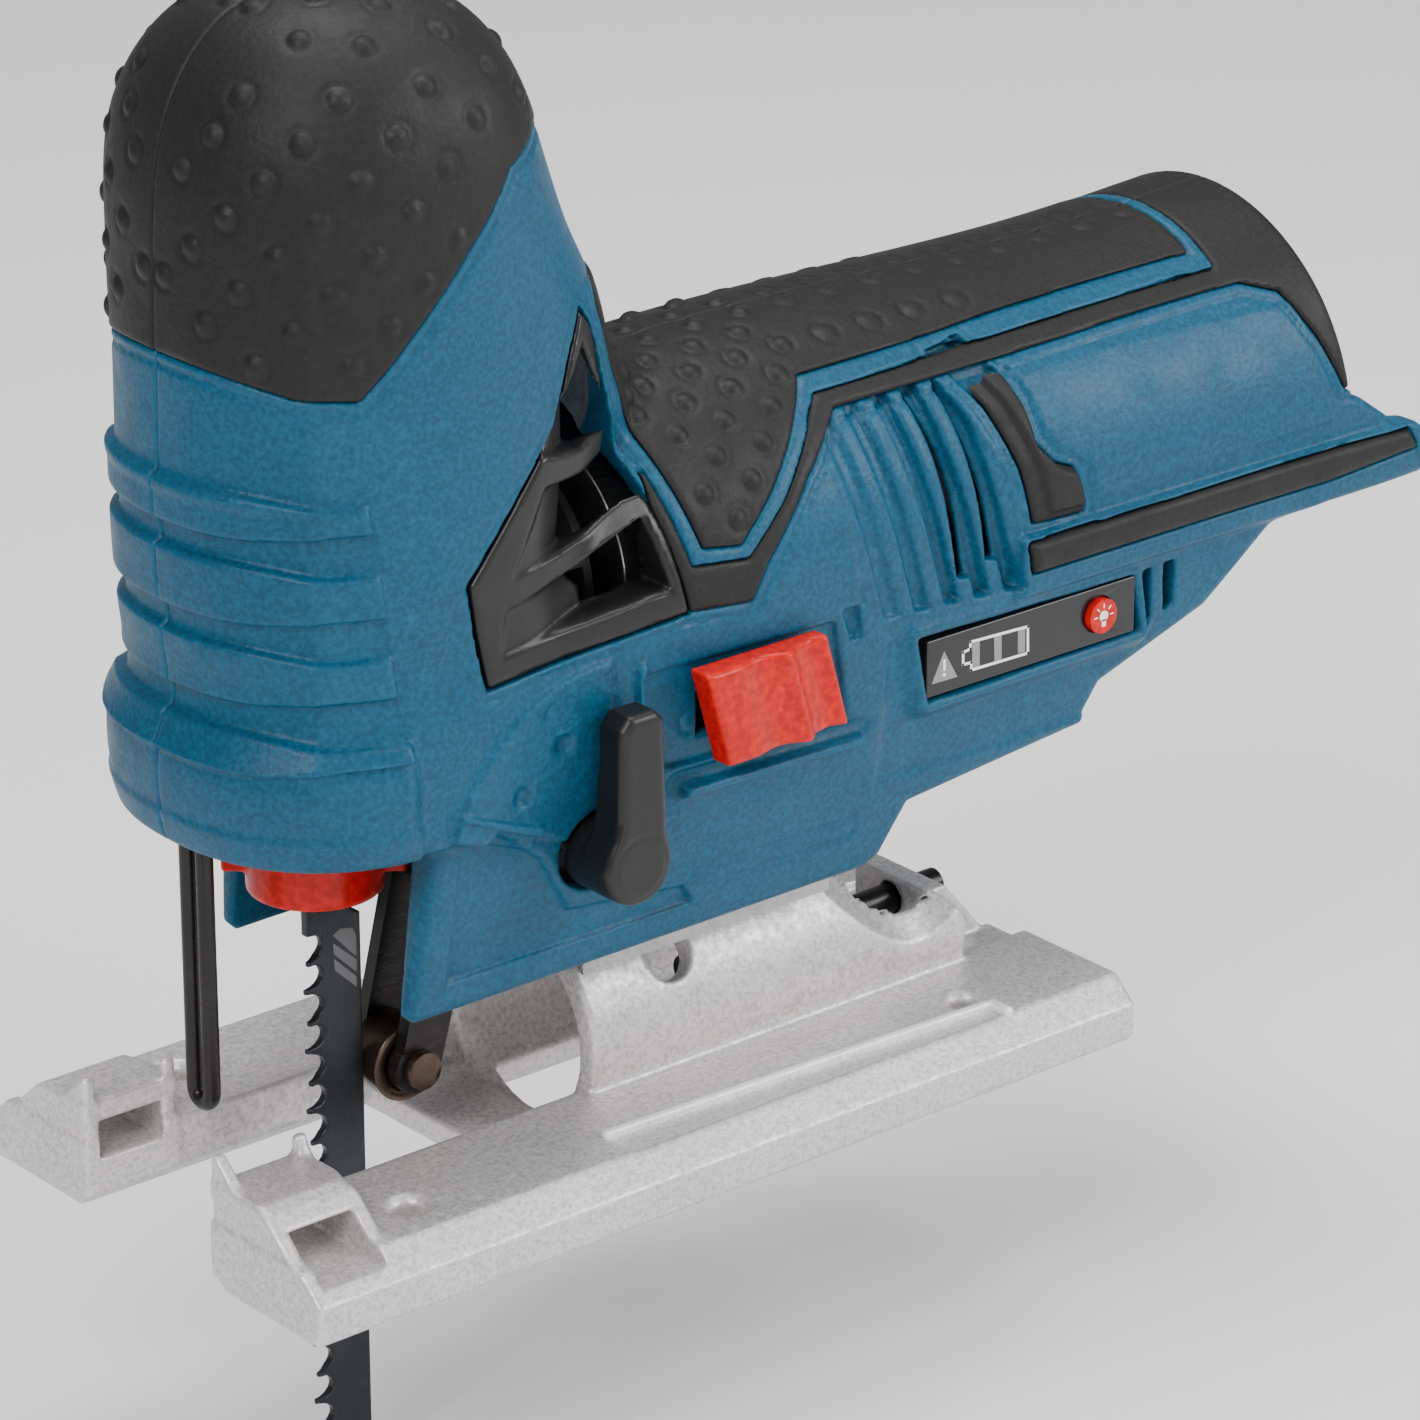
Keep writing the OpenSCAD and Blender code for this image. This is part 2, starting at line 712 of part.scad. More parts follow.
module orbital_shaft() color(steel) {
    difference() {
        union() {
            bar_y(lever_x, -28, -24.1, lever_z, 2.3);
            bar_y(lever_x, -24.15, 13.4, lever_z, 3);
        }
        // Waist that leaves the roller fork room.
        difference() {
            bar_y(lever_x, -5.6, 5.6, lever_z, 4);
            bar_y(lever_x, -6, 6, lever_z, 1);
        }
    }
}

module power_slider() color(red) {
    side_plate([[-2.4, 66.6], [17.5, 66.6], [20.5, 54], [1.2, 54]], -28.2, -25.7);
    side_plate([[9, 66.6], [11.8, 66.6], [14, 54], [11, 54]], -29.4, -28.1);
    slab(2, 18, -25.8, -21.2, 57.6, 61.4);
}

module switch_link() color([0.75, 0.75, 0.7]) slab(10, 53.2, -21.1, -19.2, 58.6, 60.6);

module switch_module() color([0.25, 0.25, 0.27]) {
    difference() {
        slab(59.5, 67, -18.5, -3, 50, 63);
        bar_y(screw_places[4][0], -30, 30, screw_places[4][1], 4);
    }
}

module control_board() color([0.1, 0.35, 0.2]) slab(38, 58.5, -17, -15.8, 45, 57.8);

module display_panel() color(black) {
    difference() {
        slab(36.1, 71.5, -25.4, -23.25, 52.5, 60.1);
        bar_y(65.3, -30, -20, 56.4, 2.35);
    }
}

module light_button() color(red) {
    bar_y(65.3, -26.3, -22, 56.4, 2.3);
    bar_y(65.3, -22.2, -21.4, 56.4, 3);
}

module work_light() color([0.9, 0.9, 0.85]) {
    both_sides() bar_z(-27, 14, 52.5, 56, 2.5);
}

module contact_block() color(black) {
    difference() {
        slab(69, 74, -14, 14, 66, 84);
        for (y = [-8, 0, 8]) slab(68, 75, y - 0.45, y + 0.45, 69, 81);
    }
}

module battery_contacts() color(brass) {
    for (y = [-8, 0, 8]) slab(67.5, 82, y - 0.4, y + 0.4, 69.1, 80.9);
}

module housing_screws() color(steel) {
    for (s = screw_places) {
        bar_y(s[0], -6, s[2], s[1], 1.5);
        bar_y(s[0], s[2] - 0.1, s[2] + 2, s[1], 2.8);
    }
}

base_plate();
hex_key();
housing_left();
housing_right();
head_grip_left();
head_grip_right();
barrel_grip_left();
barrel_grip_right();
side_trim_left();
side_trim_right();
vent_grille_left();
vent_grille_right();
side_tabs();
bumpers();
housing_screws();
bevel_screw();
bevel_washer();
bevel_nut();
gear_frame();
motor_bearings();
gear_axle();
motor_can();
motor_magnets();
motor_end_cap();
motor_brushes();
motor_shaft();
armature();
commutator();
fan();
motor_pinion();
crank_gear();
crank_pin();
crank_roller();
rod_guide();
upper_bush();
lower_bush();
stroke_rod();
yoke();
clamp_body();
clamp_collar();
clamp_spring();
blade();
roller_fork();
fork_pin();
roller_pin();
guide_roller();
guard_wire();
guard_clip();
orbital_lever();
orbital_shaft();
power_slider();
switch_link();
switch_module();
control_board();
display_panel();
light_button();
work_light();
contact_block();
battery_contacts();
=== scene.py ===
# Cordless barrel-grip jigsaw: the looks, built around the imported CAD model.
# Lengths in the shape functions are millimetres in the row frame; meshes are scaled to metres.
import json
import math

import bmesh
import bpy
import numpy as np
from mathutils import Matrix, Vector


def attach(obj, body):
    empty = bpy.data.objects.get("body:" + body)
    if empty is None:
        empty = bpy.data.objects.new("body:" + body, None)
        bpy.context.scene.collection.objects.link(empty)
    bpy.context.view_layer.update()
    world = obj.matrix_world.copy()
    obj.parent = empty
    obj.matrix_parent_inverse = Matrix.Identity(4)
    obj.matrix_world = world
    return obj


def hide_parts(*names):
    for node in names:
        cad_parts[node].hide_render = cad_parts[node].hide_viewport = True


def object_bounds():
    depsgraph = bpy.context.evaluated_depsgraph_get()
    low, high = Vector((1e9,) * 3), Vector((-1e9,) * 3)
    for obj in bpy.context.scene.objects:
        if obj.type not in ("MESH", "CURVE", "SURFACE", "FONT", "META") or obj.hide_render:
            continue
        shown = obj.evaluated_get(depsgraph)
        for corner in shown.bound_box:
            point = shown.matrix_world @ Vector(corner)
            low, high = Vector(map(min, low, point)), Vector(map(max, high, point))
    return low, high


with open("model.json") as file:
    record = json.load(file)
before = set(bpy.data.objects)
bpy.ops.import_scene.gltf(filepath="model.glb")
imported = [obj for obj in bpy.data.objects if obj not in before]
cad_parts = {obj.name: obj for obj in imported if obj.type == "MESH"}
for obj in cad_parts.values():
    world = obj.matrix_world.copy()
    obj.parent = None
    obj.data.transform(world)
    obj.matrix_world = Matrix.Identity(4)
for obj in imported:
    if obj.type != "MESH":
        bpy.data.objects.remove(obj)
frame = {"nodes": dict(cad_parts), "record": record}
cad_low, cad_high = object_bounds()
nodes = frame["nodes"]
MM = 0.001
GRID = 0.5


# ---------- camera, floor and light ----------

def make_camera():
    """40 degrees round to the left, 22 degrees up, through a long lens."""
    azimuth, elevation = math.radians(-40.1), math.radians(22.4)
    back = Vector((math.sin(azimuth) * math.cos(elevation),
                   -math.cos(azimuth) * math.cos(elevation), math.sin(elevation)))
    data = bpy.data.cameras.new("camera")
    data.sensor_width = 36
    data.lens = 156.83
    data.clip_start, data.clip_end = 0.05, 20
    camera = bpy.data.objects.new("camera", data)
    camera.location = (-0.4406, -0.5499, 0.3430)
    camera.rotation_mode = "QUATERNION"
    camera.rotation_quaternion = (-back).to_track_quat("-Z", "Y")
    bpy.context.scene.collection.objects.link(camera)
    bpy.context.scene.camera = camera


def area_light(name, place, target, size, watts, tint=(1, 1, 1)):
    data = bpy.data.lights.new(name, "AREA")
    data.shape = "RECTANGLE"
    data.size, data.size_y = size
    data.energy = watts
    data.color = tint
    light = bpy.data.objects.new(name, data)
    light.location = place
    light.rotation_mode = "QUATERNION"
    light.rotation_quaternion = (Vector(target) - Vector(place)).to_track_quat("-Z", "Y")
    bpy.context.scene.collection.objects.link(light)


def make_studio():
    """A flat pale floor, a soft key from the front left, and softer lights above and beside."""
    floor_z = cad_low.z - 0.0005
    mesh = bpy.data.meshes.new("floor")
    span = 6.0
    mesh.from_pydata([(-span, -span, floor_z), (span, -span, floor_z), (span, span, floor_z),
                      (-span, span, floor_z)], [], [(0, 1, 2, 3)])
    floor = bpy.data.objects.new("floor", mesh)
    bpy.context.scene.collection.objects.link(floor)
    mat = bpy.data.materials.new("floor_paper")
    mat.use_nodes = True
    shader = mat.node_tree.nodes["Principled BSDF"]
    shader.inputs["Base Color"].default_value = (0.90, 0.90, 0.90, 1)
    shader.inputs["Roughness"].default_value = 0.9
    shader.inputs["Specular IOR Level"].default_value = 0.2
    floor.data.materials.append(mat)
    world = bpy.context.scene.world or bpy.data.worlds.new("studio")
    bpy.context.scene.world = world
    world.use_nodes = True
    world.node_tree.nodes["Background"].inputs[0].default_value = (1.0, 1.0, 1.0, 1)
    world.node_tree.nodes["Background"].inputs[1].default_value = 0.34
    middle = (0.02, 0.0, 0.07)
    area_light("key", (-0.75, -0.45, 0.8), middle, (0.5, 0.5), 9)
    area_light("top", (0.15, 0.1, 1.0), middle, (0.8, 0.5), 9)
    area_light("side", (0.75, -0.8, 0.6), middle, (0.45, 0.6), 10)
    area_light("low", (-0.25, -1.0, 0.12), middle, (0.5, 0.25), 1.2)


# ---------- materials ----------

class Shader:
    """A material's nodes, with short calls for the few kinds that are used."""

    def __init__(self, name):
        self.mat = bpy.data.materials.new(name)
        self.mat.use_nodes = True
        self.tree = self.mat.node_tree
        self.main = self.tree.nodes["Principled BSDF"]
        self.place = self.node("ShaderNodeTexCoord").outputs["Object"]

    def node(self, kind, **values):
        made = self.tree.nodes.new(kind)
        for key, value in values.items():
            setattr(made, key, value)
        return made

    def link(self, source, socket):
        self.tree.links.new(source, socket)

    def noise(self, scale, detail=3.0, rough=0.55):
        made = self.node("ShaderNodeTexNoise")
        made.inputs["Scale"].default_value = scale
        made.inputs["Detail"].default_value = detail
        made.inputs["Roughness"].default_value = rough
        self.link(self.place, made.inputs["Vector"])
        return made.outputs["Fac"]

    def voronoi(self, scale):
        made = self.node("ShaderNodeTexVoronoi")
        made.inputs["Scale"].default_value = scale
        self.link(self.place, made.inputs["Vector"])
        return made.outputs["Distance"]

    def ramp(self, value, stops):
        made = self.node("ShaderNodeValToRGB")
        ramp = made.color_ramp
        while len(ramp.elements) < len(stops):
            ramp.elements.new(0.5)
        for element, (where, colour) in zip(ramp.elements, stops):
            element.position = where
            element.color = (*colour, 1)
        self.link(value, made.inputs["Fac"])
        return made.outputs["Color"]

    def remap(self, value, low, high, to_low, to_high):
        made = self.node("ShaderNodeMapRange")
        for i, v in enumerate((low, high, to_low, to_high)):
            made.inputs[i + 1].default_value = v
        self.link(value, made.inputs["Value"])
        return made.outputs["Result"]

    def bump(self, value, strength, distance, under=None):
        made = self.node("ShaderNodeBump")
        made.inputs["Strength"].default_value = strength
        made.inputs["Distance"].default_value = distance
        self.link(value, made.inputs["Height"])
        if under is not None:
            self.link(under, made.inputs["Normal"])
        return made.outputs["Normal"]

    def wear(self, low, high):
        """1 on convex edges, where a finish rubs thin."""
        made = self.node("ShaderNodeNewGeometry")
        return self.remap(made.outputs["Pointiness"], low, high, 0, 1)

    def mix(self, share, a, b):
        made = self.node("ShaderNodeMix", data_type="RGBA")
        self.link(share, made.inputs["Factor"])
        for socket, value in ((made.inputs[6], a), (made.inputs[7], b)):
            if isinstance(value, tuple):
                socket.default_value = (*value, 1)
            else:
                self.link(value, socket)
        return made.outputs[2]


def scaled(colour, factor):
    return tuple(min(1.0, c * factor) for c in colour)


def moulded(name, colour, rough=0.42, grain=1400, depth=0.00010, strength=0.6, spread=0.16,
            specular=0.5, flow=0.12):
    """Moulded plastic or rubber: a fine spark-eroded grain, faint flow marks, paler edges."""
    s = Shader(name)
    tint = s.ramp(s.noise(60, 4), [(0.3, scaled(colour, 1 - spread)), (0.7, scaled(colour, 1 + spread))])
    speck = s.ramp(s.noise(grain, 2), [(0.36, scaled(colour, 0.62)), (0.68, scaled(colour, 1.7))])
    blend = s.node("ShaderNodeMix", data_type="RGBA")
    blend.inputs["Factor"].default_value = 0.45
    s.link(tint, blend.inputs[6])
    s.link(speck, blend.inputs[7])
    s.link(s.mix(s.wear(0.52, 0.62), blend.outputs[2], scaled(colour, 1.5)),
           s.main.inputs["Base Color"])
    s.link(s.remap(s.noise(180, 3), 0.3, 0.7, rough - 0.06, rough + 0.08), s.main.inputs["Roughness"])
    s.main.inputs["Specular IOR Level"].default_value = specular
    fine = s.bump(s.noise(grain, 3, 0.6), strength, depth)
    s.link(s.bump(s.noise(90, 2), flow, 0.0003, fine), s.main.inputs["Normal"])
    return s.mat


def cast_metal(name, colour, rough=0.5, metallic=0.75):
    """Die-cast aluminium: a sandy skin with bright and dark grains and rubbed edges."""
    s = Shader(name)
    grain = s.ramp(s.noise(1500, 3, 0.7), [(0.34, scaled(colour, 0.5)), (0.5, colour),
                                           (0.68, scaled(colour, 1.35))])
    cloud = s.ramp(s.noise(45, 4), [(0.3, scaled(colour, 0.86)), (0.7, scaled(colour, 1.1))])
    blend = s.node("ShaderNodeMix", data_type="RGBA")
    blend.inputs["Factor"].default_value = 0.55
    s.link(cloud, blend.inputs[6])
    s.link(grain, blend.inputs[7])
    s.link(s.mix(s.wear(0.52, 0.6), blend.outputs[2], scaled(colour, 1.3)),
           s.main.inputs["Base Color"])
    s.main.inputs["Metallic"].default_value = metallic
    s.link(s.remap(s.noise(700, 3), 0.3, 0.7, rough - 0.1, rough + 0.14), s.main.inputs["Roughness"])
    fine = s.bump(s.noise(1300, 4, 0.65), 0.55, 0.00012)
    s.link(s.bump(s.noise(120, 3), 0.25, 0.0004, fine), s.main.inputs["Normal"])
    return s.mat


def turned_metal(name, colour, rough=0.28, metallic=1.0, brushed=(40, 40, 900)):
    """Ground, turned or drawn metal: fine lines, a little staining and bright edges."""
    s = Shader(name)
    stretch = s.node("ShaderNodeMapping")
    stretch.inputs["Scale"].default_value = brushed
    s.link(s.place, stretch.inputs["Vector"])
    lines = s.node("ShaderNodeTexNoise")
    lines.inputs["Scale"].default_value = 6
    lines.inputs["Detail"].default_value = 4
    s.link(stretch.outputs["Vector"], lines.inputs["Vector"])
    tone = s.ramp(s.noise(130, 4), [(0.3, scaled(colour, 0.8)), (0.7, scaled(colour, 1.12))])
    s.link(s.mix(s.wear(0.52, 0.6), tone, scaled(colour, 1.5)), s.main.inputs["Base Color"])
    s.main.inputs["Metallic"].default_value = metallic
    s.link(s.remap(lines.outputs["Fac"], 0.3, 0.7, rough - 0.08, rough + 0.1),
           s.main.inputs["Roughness"])
    s.link(s.bump(lines.outputs["Fac"], 0.15, 0.00004), s.main.inputs["Normal"])
    return s.mat


def clear_lens(name):
    s = Shader(name)
    s.link(s.ramp(s.noise(300, 2), [(0.3, (0.86, 0.88, 0.84)), (0.7, (0.95, 0.96, 0.93))]),
           s.main.inputs["Base Color"])
    s.main.inputs["Roughness"].default_value = 0.12
    s.main.inputs["Transmission Weight"].default_value = 0.5
    s.link(s.bump(s.voronoi(900), 0.2, 0.0001), s.main.inputs["Normal"])
    return s.mat


def windings(name):
    """Copper wire wound in bundles over stacked iron sheets."""
    s = Shader(name)
    waves = s.node("ShaderNodeTexWave", wave_type="BANDS", bands_direction="X")
    waves.inputs["Scale"].default_value = 600
    waves.inputs["Distortion"].default_value = 1.5
    s.link(s.place, waves.inputs["Vector"])
    s.link(s.ramp(waves.outputs["Fac"], [(0.2, (0.20, 0.07, 0.03)), (0.8, (0.62, 0.28, 0.12))]),
           s.main.inputs["Base Color"])
    s.main.inputs["Metallic"].default_value = 0.8
    s.link(s.remap(s.noise(200), 0.3, 0.7, 0.3, 0.5), s.main.inputs["Roughness"])
    s.link(s.bump(waves.outputs["Fac"], 0.6, 0.0002), s.main.inputs["Normal"])
    return s.mat


BLUE = (0.0022, 0.066, 0.128)
MATERIALS = {
    "blue_nylon": moulded("blue_nylon", BLUE, 0.46, 1500, 0.00012, 0.8, 0.12, 0.3),
    "black_grip": moulded("black_grip", (0.0075, 0.0072, 0.0074), 0.55, 1300, 0.00012, 0.7, 0.2, 0.32),
    "black_plastic": moulded("black_plastic", (0.006, 0.006, 0.0062), 0.36, 1500, 0.00005, 0.4, 0.2, 0.4),
    "red_plastic": moulded("red_plastic", (0.52, 0.005, 0.002), 0.34, 900, 0.00003, 0.1, 0.03, 0.25, 0.015),
    "link_plastic": moulded("link_plastic", (0.6, 0.57, 0.48), 0.5),
    "fan_plastic": moulded("fan_plastic", (0.03, 0.03, 0.034), 0.5),
    "board_green": moulded("board_green", (0.01, 0.09, 0.04), 0.35),
    "brush_carbon": moulded("brush_carbon", (0.02, 0.02, 0.02), 0.6),
    "magnet": moulded("magnet", (0.05, 0.05, 0.055), 0.6),
    "display_black": moulded("display_black", (0.006, 0.006, 0.007), 0.22, 1800, 0.00002, 0.3, 0.1),
    "black_steel": turned_metal("black_steel", (0.018, 0.016, 0.015), 0.32, 0.6),
    "blade_steel": turned_metal("blade_steel", (0.020, 0.023, 0.028), 0.34, 0.55, (900, 40, 60)),
    "roller_steel": turned_metal("roller_steel", (0.085, 0.058, 0.042), 0.3, 0.9, (60, 900, 60)),
    "cast_aluminium": cast_metal("cast_aluminium", (0.63, 0.605, 0.595), 0.42, 0.5),
    "frame_alloy": cast_metal("frame_alloy", (0.42, 0.42, 0.42)),
    "screw_steel": turned_metal("screw_steel", (0.45, 0.45, 0.46), 0.3),
    "bearing_steel": turned_metal("bearing_steel", (0.5, 0.48, 0.47), 0.25),
    "gear_steel": turned_metal("gear_steel", (0.32, 0.31, 0.30), 0.3),
    "motor_steel": turned_metal("motor_steel", (0.42, 0.42, 0.42), 0.35),
    "brass": turned_metal("brass", (0.62, 0.44, 0.18), 0.3),
    "bush_bronze": turned_metal("bush_bronze", (0.42, 0.26, 0.12), 0.4),
    "copper_windings": windings("copper_windings"),
    "led_lens": clear_lens("led_lens"),
    "print_white": moulded("print_white", (0.72, 0.72, 0.70), 0.5, 1200, 0.00002, 0.2, 0.05),
    "print_grey": moulded("print_grey", (0.16, 0.16, 0.165), 0.4, 1200, 0.00002, 0.2, 0.08),
    # Painted highlight: the near-white colour of the strip laid along the base plate rails' crest.
    "painted_rail_highlight": cast_metal("painted_rail_highlight", (0.95, 0.94, 0.92), 0.4, 0.2),
    "blade_print": moulded("blade_print", (0.10, 0.10, 0.105), 0.5, 1200, 0.00002, 0.2, 0.08),
}
slot_of = {row["node"]: row["material_slot"] for row in frame["record"]["subparts"]}


def finish_cad_nodes():
    """Every CAD node gets its slot's material, merged corners and small rounded edges."""
    fine = {"crank_gear": 0.1, "motor_pinion": 0.08, "blade": 0, "guard_wire": 0, "clamp_spring": 0,
            "base_plate": 0.45, "clamp_collar": 0.5, "roller_fork": 0.5, "bevel_screw": 0.2}
    for name, thing in nodes.items():
        thing.data.materials.clear()
        dark = {"roller_pin": "roller_steel", "fork_pin": "roller_steel"}
        thing.data.materials.append(MATERIALS[dark.get(name, slot_of[name])])
        weld = thing.modifiers.new("weld", "WELD")
        weld.merge_threshold = 1e-5
        if fine.get(name, 0.25):
            bevel = thing.modifiers.new("edges", "BEVEL")
            bevel.width = fine.get(name, 0.25) * MM
            bevel.segments = 2
            bevel.limit_method = "ANGLE"
            bevel.angle_limit = math.radians(35)
            bevel.harden_normals = True
        for polygon in thing.data.polygons:
            polygon.use_smooth = True
        smooth = thing.modifiers.new("shade", "WEIGHTED_NORMAL")
        smooth.keep_sharp = True


# ---------- shapes as distance fields, in millimetres ----------

def smooth_max(a, b, k):
    h = np.clip(0.5 + 0.5 * (a - b) / k, 0, 1)
    return b + (a - b) * h + k * h * (1 - h)


def smooth_min(a, b, k):
    return -smooth_max(-a, -b, k)


def step(value, low, high):
    t = np.clip((value - low) / (high - low), 0, 1)
    return t * t * (3 - 2 * t)


def curve(table, at):
    """A smooth curve through (place, value) pairs."""
    xs, ys = (np.array(v, float) for v in zip(*table))
    slopes = np.gradient(ys, xs)
    i = np.clip(np.searchsorted(xs, at) - 1, 0, len(xs) - 2)
    width = xs[i + 1] - xs[i]
    t = np.clip((at - xs[i]) / width, 0, 1)
    return ((2 * t**3 - 3 * t**2 + 1) * ys[i] + (t**3 - 2 * t**2 + t) * width * slopes[i]
            + (3 * t**2 - 2 * t**3) * ys[i + 1] + (t**3 - t**2) * width * slopes[i + 1])


def box(x, y, z, low, high, r=0.0):
    """Distance to a box with edges rounded to r."""
    q = [np.abs(v - (a + b) / 2) - ((b - a) / 2 - r) for v, a, b in zip((x, y, z), low, high)]
    outside = np.sqrt(sum(np.maximum(v, 0)**2 for v in q))
    return outside + np.minimum(np.maximum(np.maximum(q[0], q[1]), q[2]), 0) - r


def outline(px, pz, points):
    """Signed distance to a closed outline; negative inside."""
    best = np.full(px.shape, 1e9)
    inside = np.zeros(px.shape, bool)
    for (ax, az), (bx, bz) in zip(points, points[1:] + points[:1]):
        ex, ez = bx - ax, bz - az
        t = np.clip(((px - ax) * ex + (pz - az) * ez) / (ex * ex + ez * ez), 0, 1)
        best = np.minimum(best, (px - ax - ex * t)**2 + (pz - az - ez * t)**2)
        if az != bz:
            inside ^= ((az > pz) != (bz > pz)) & (px < ex * (pz - az) / ez + ax)
    return np.where(inside, -1, 1) * np.sqrt(best)


class SideMap:
    """Values over the side view, looked up with X and Z."""
    x0, z0, cell = -72.0, 20.0, 0.25
    gx, gz = np.meshgrid(x0 + cell * np.arange(805), z0 + cell * np.arange(565), indexing="ij")

    def __init__(self, values):
        self.values = values

    def __call__(self, x, z):
        u = np.clip((x - self.x0) / self.cell, 0, self.values.shape[0] - 1.001)
        v = np.clip((z - self.z0) / self.cell, 0, self.values.shape[1] - 1.001)
        i, j = u.astype(int), v.astype(int)
        u, v = u - i, v - j
        m = self.values
        return ((m[i, j] * (1 - u) + m[i + 1, j] * u) * (1 - v)
                + (m[i, j + 1] * (1 - u) + m[i + 1, j + 1] * u) * v)


def side_outline(points):
    return SideMap(outline(SideMap.gx, SideMap.gz, points))


def surface(name, field, low, high, cell=GRID):
    """A mesh of the field's zero surface inside a box: one vertex a cell, moved on to the surface."""
    block = 8
    counts = [max(1, math.ceil((b - a) / (cell * block))) for a, b in zip(low, high)]
    middles = [a + cell * block * (np.arange(n) + 0.5) for a, n in zip(low, counts)]
    far = field(*np.meshgrid(*middles, indexing="ij"))
    near = np.abs(far) < cell * block * 0.87 * 1.15 + 1.4
    values = far.repeat(block, 0).repeat(block, 1).repeat(block, 2)
    values = np.pad(values, ((0, 1),) * 3, mode="edge").astype(np.float32)
    wanted = np.zeros(values.shape, bool)
    cells = near.repeat(block, 0).repeat(block, 1).repeat(block, 2)
    for dx in (0, 1):
        for dy in (0, 1):
            for dz in (0, 1):
                wanted[dx:dx + cells.shape[0], dy:dy + cells.shape[1], dz:dz + cells.shape[2]] |= cells
    at = np.nonzero(wanted)
    points = [a + cell * v for a, v in zip(low, at)]
    values[at] = field(*points)
    return net(name, values, np.array(low, float), cell, field)


def net(name, values, low, cell, field):
    inside = values < 0
    n = [s - 1 for s in values.shape]
    total = np.zeros(n, np.uint8)
    corners = [(dx, dy, dz) for dx in (0, 1) for dy in (0, 1) for dz in (0, 1)]
    for dx, dy, dz in corners:
        total += inside[dx:dx + n[0], dy:dy + n[1], dz:dz + n[2]]
    i, j, k = np.nonzero((total > 0) & (total < 8))
    index = np.full(n, -1, np.int64)
    index[i, j, k] = np.arange(len(i))
    held = {c: values[i + c[0], j + c[1], k + c[2]].astype(float) for c in corners}
    where, count = np.zeros((len(i), 3)), np.zeros(len(i))
    for a in corners:
        for axis in range(3):
            if a[axis]:
                continue
            b = tuple(1 if d == axis else a[d] for d in range(3))
            va, vb = held[a], held[b]
            cross = (va < 0) != (vb < 0)
            t = np.where(cross, va / np.where(cross, va - vb, 1), 0)
            for d in range(3):
                where[:, d] += np.where(cross, a[d] + (t if d == axis else 0), 0)
            count += cross
    co = low + cell * (np.stack([i, j, k], 1) + where / count[:, None])
    co = settle(co, field, cell)
    quads = []
    for axis in range(3):
        first = [slice(None)] * 3
        second = [slice(None)] * 3
        first[axis], second[axis] = slice(0, -1), slice(1, None)
        change = inside[tuple(first)] != inside[tuple(second)]
        u, v = [d for d in range(3) if d != axis]
        keep = [slice(None)] * 3
        keep[u], keep[v] = slice(1, -1), slice(1, -1)
        spots = np.stack(np.nonzero(change[tuple(keep)]), 1)
        spots[:, u] += 1
        spots[:, v] += 1
        ring = []
        for du, dv in ((-1, -1), (0, -1), (0, 0), (-1, 0)):
            c = spots.copy()
            c[:, u] += du
            c[:, v] += dv
            ring.append(index[c[:, 0], c[:, 1], c[:, 2]])
        ring = np.stack(ring, 1)
        starts_inside = inside[spots[:, 0], spots[:, 1], spots[:, 2]]
        flip = starts_inside if axis == 1 else ~starts_inside
        ring[flip] = ring[flip][:, ::-1]
        quads.append(ring)
    quads = np.concatenate(quads)
    mesh = bpy.data.meshes.new(name)
    mesh.vertices.add(len(co))
    mesh.vertices.foreach_set("co", (co * MM).astype(np.float32).ravel())
    mesh.loops.add(quads.size)
    mesh.loops.foreach_set("vertex_index", quads.astype(np.int32).ravel())
    mesh.polygons.add(len(quads))
    mesh.polygons.foreach_set("loop_start", np.arange(0, quads.size, 4, dtype=np.int32))
    mesh.polygons.foreach_set("use_smooth", np.ones(len(quads), bool))
    mesh.update(calc_edges=True)
    mesh.validate()
    thing = bpy.data.objects.new(name, mesh)
    bpy.context.scene.collection.objects.link(thing)
    return thing


def settle(co, field, cell):
    """Moves points on to the surface along the field's slope."""
    e = 0.06
    signs = np.array([(1, -1, -1), (-1, -1, 1), (-1, 1, -1), (1, 1, 1)], float)
    for _ in range(2):
        slope, mean = np.zeros_like(co), np.zeros(len(co))
        for s in signs:
            v = field(*(co + s * e).T)
            slope += s * v[:, None]
            mean += v / 4
        slope /= 4 * e
        move = -mean[:, None] * slope / np.maximum((slope**2).sum(1), 0.3)[:, None]
        size = np.linalg.norm(move, axis=1, keepdims=True)
        co = co + move * np.minimum(1, 0.6 * cell / np.maximum(size, 1e-9))
    return co


def dress(thing, slot, body, *stands_for):
    thing.data.materials.append(MATERIALS[slot])
    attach(thing, body)
    if stands_for:
        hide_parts(*stands_for)
    return thing


def mirrored(thing, name):
    """A copy on the other side of the blade's plane."""
    mesh = thing.data.copy()
    mesh.name = name
    mesh.transform(Matrix.Scale(-1, 4, (0, 1, 0)))
    mesh.flip_normals()
    mesh.materials.clear()
    copy = bpy.data.objects.new(name, mesh)
    bpy.context.scene.collection.objects.link(copy)
    return copy


# ---------- the housing's form ----------

WALL = 2.8
SKIRT_Z = 52.4
COLUMN_FRONT = [(52.4, -60.6), (56, -61.5), (60, -61.9), (64, -61.7), (68, -60), (72.8, -59.1),
                (78, -59.6), (84, -60), (113, -60), (130, -59.5), (170, -58.8)]
COLUMN_REAR = [(52.4, -12), (80, -5), (98, -1), (113, -3.6), (122, -8), (130, -11), (150, -13)]
COLUMN_HALF = [(52.4, 24.2), (56, 25.2), (60, 25.7), (64, 25.5), (68, 24.1), (72.8, 23.5), (84, 24),
               (130, 24), (160, 23.6)]
DOME_Z, DOME_H = 126.0, 26.6
BODY_HALF = [(-41, 22.4), (-20, 23.6), (8, 25), (37, 25.4), (97, 25.8), (121, 26.3)]
BODY_FOOT = [(-41, 19.3), (8, 20), (65, 20.8), (97, 22), (121, 24.5)]
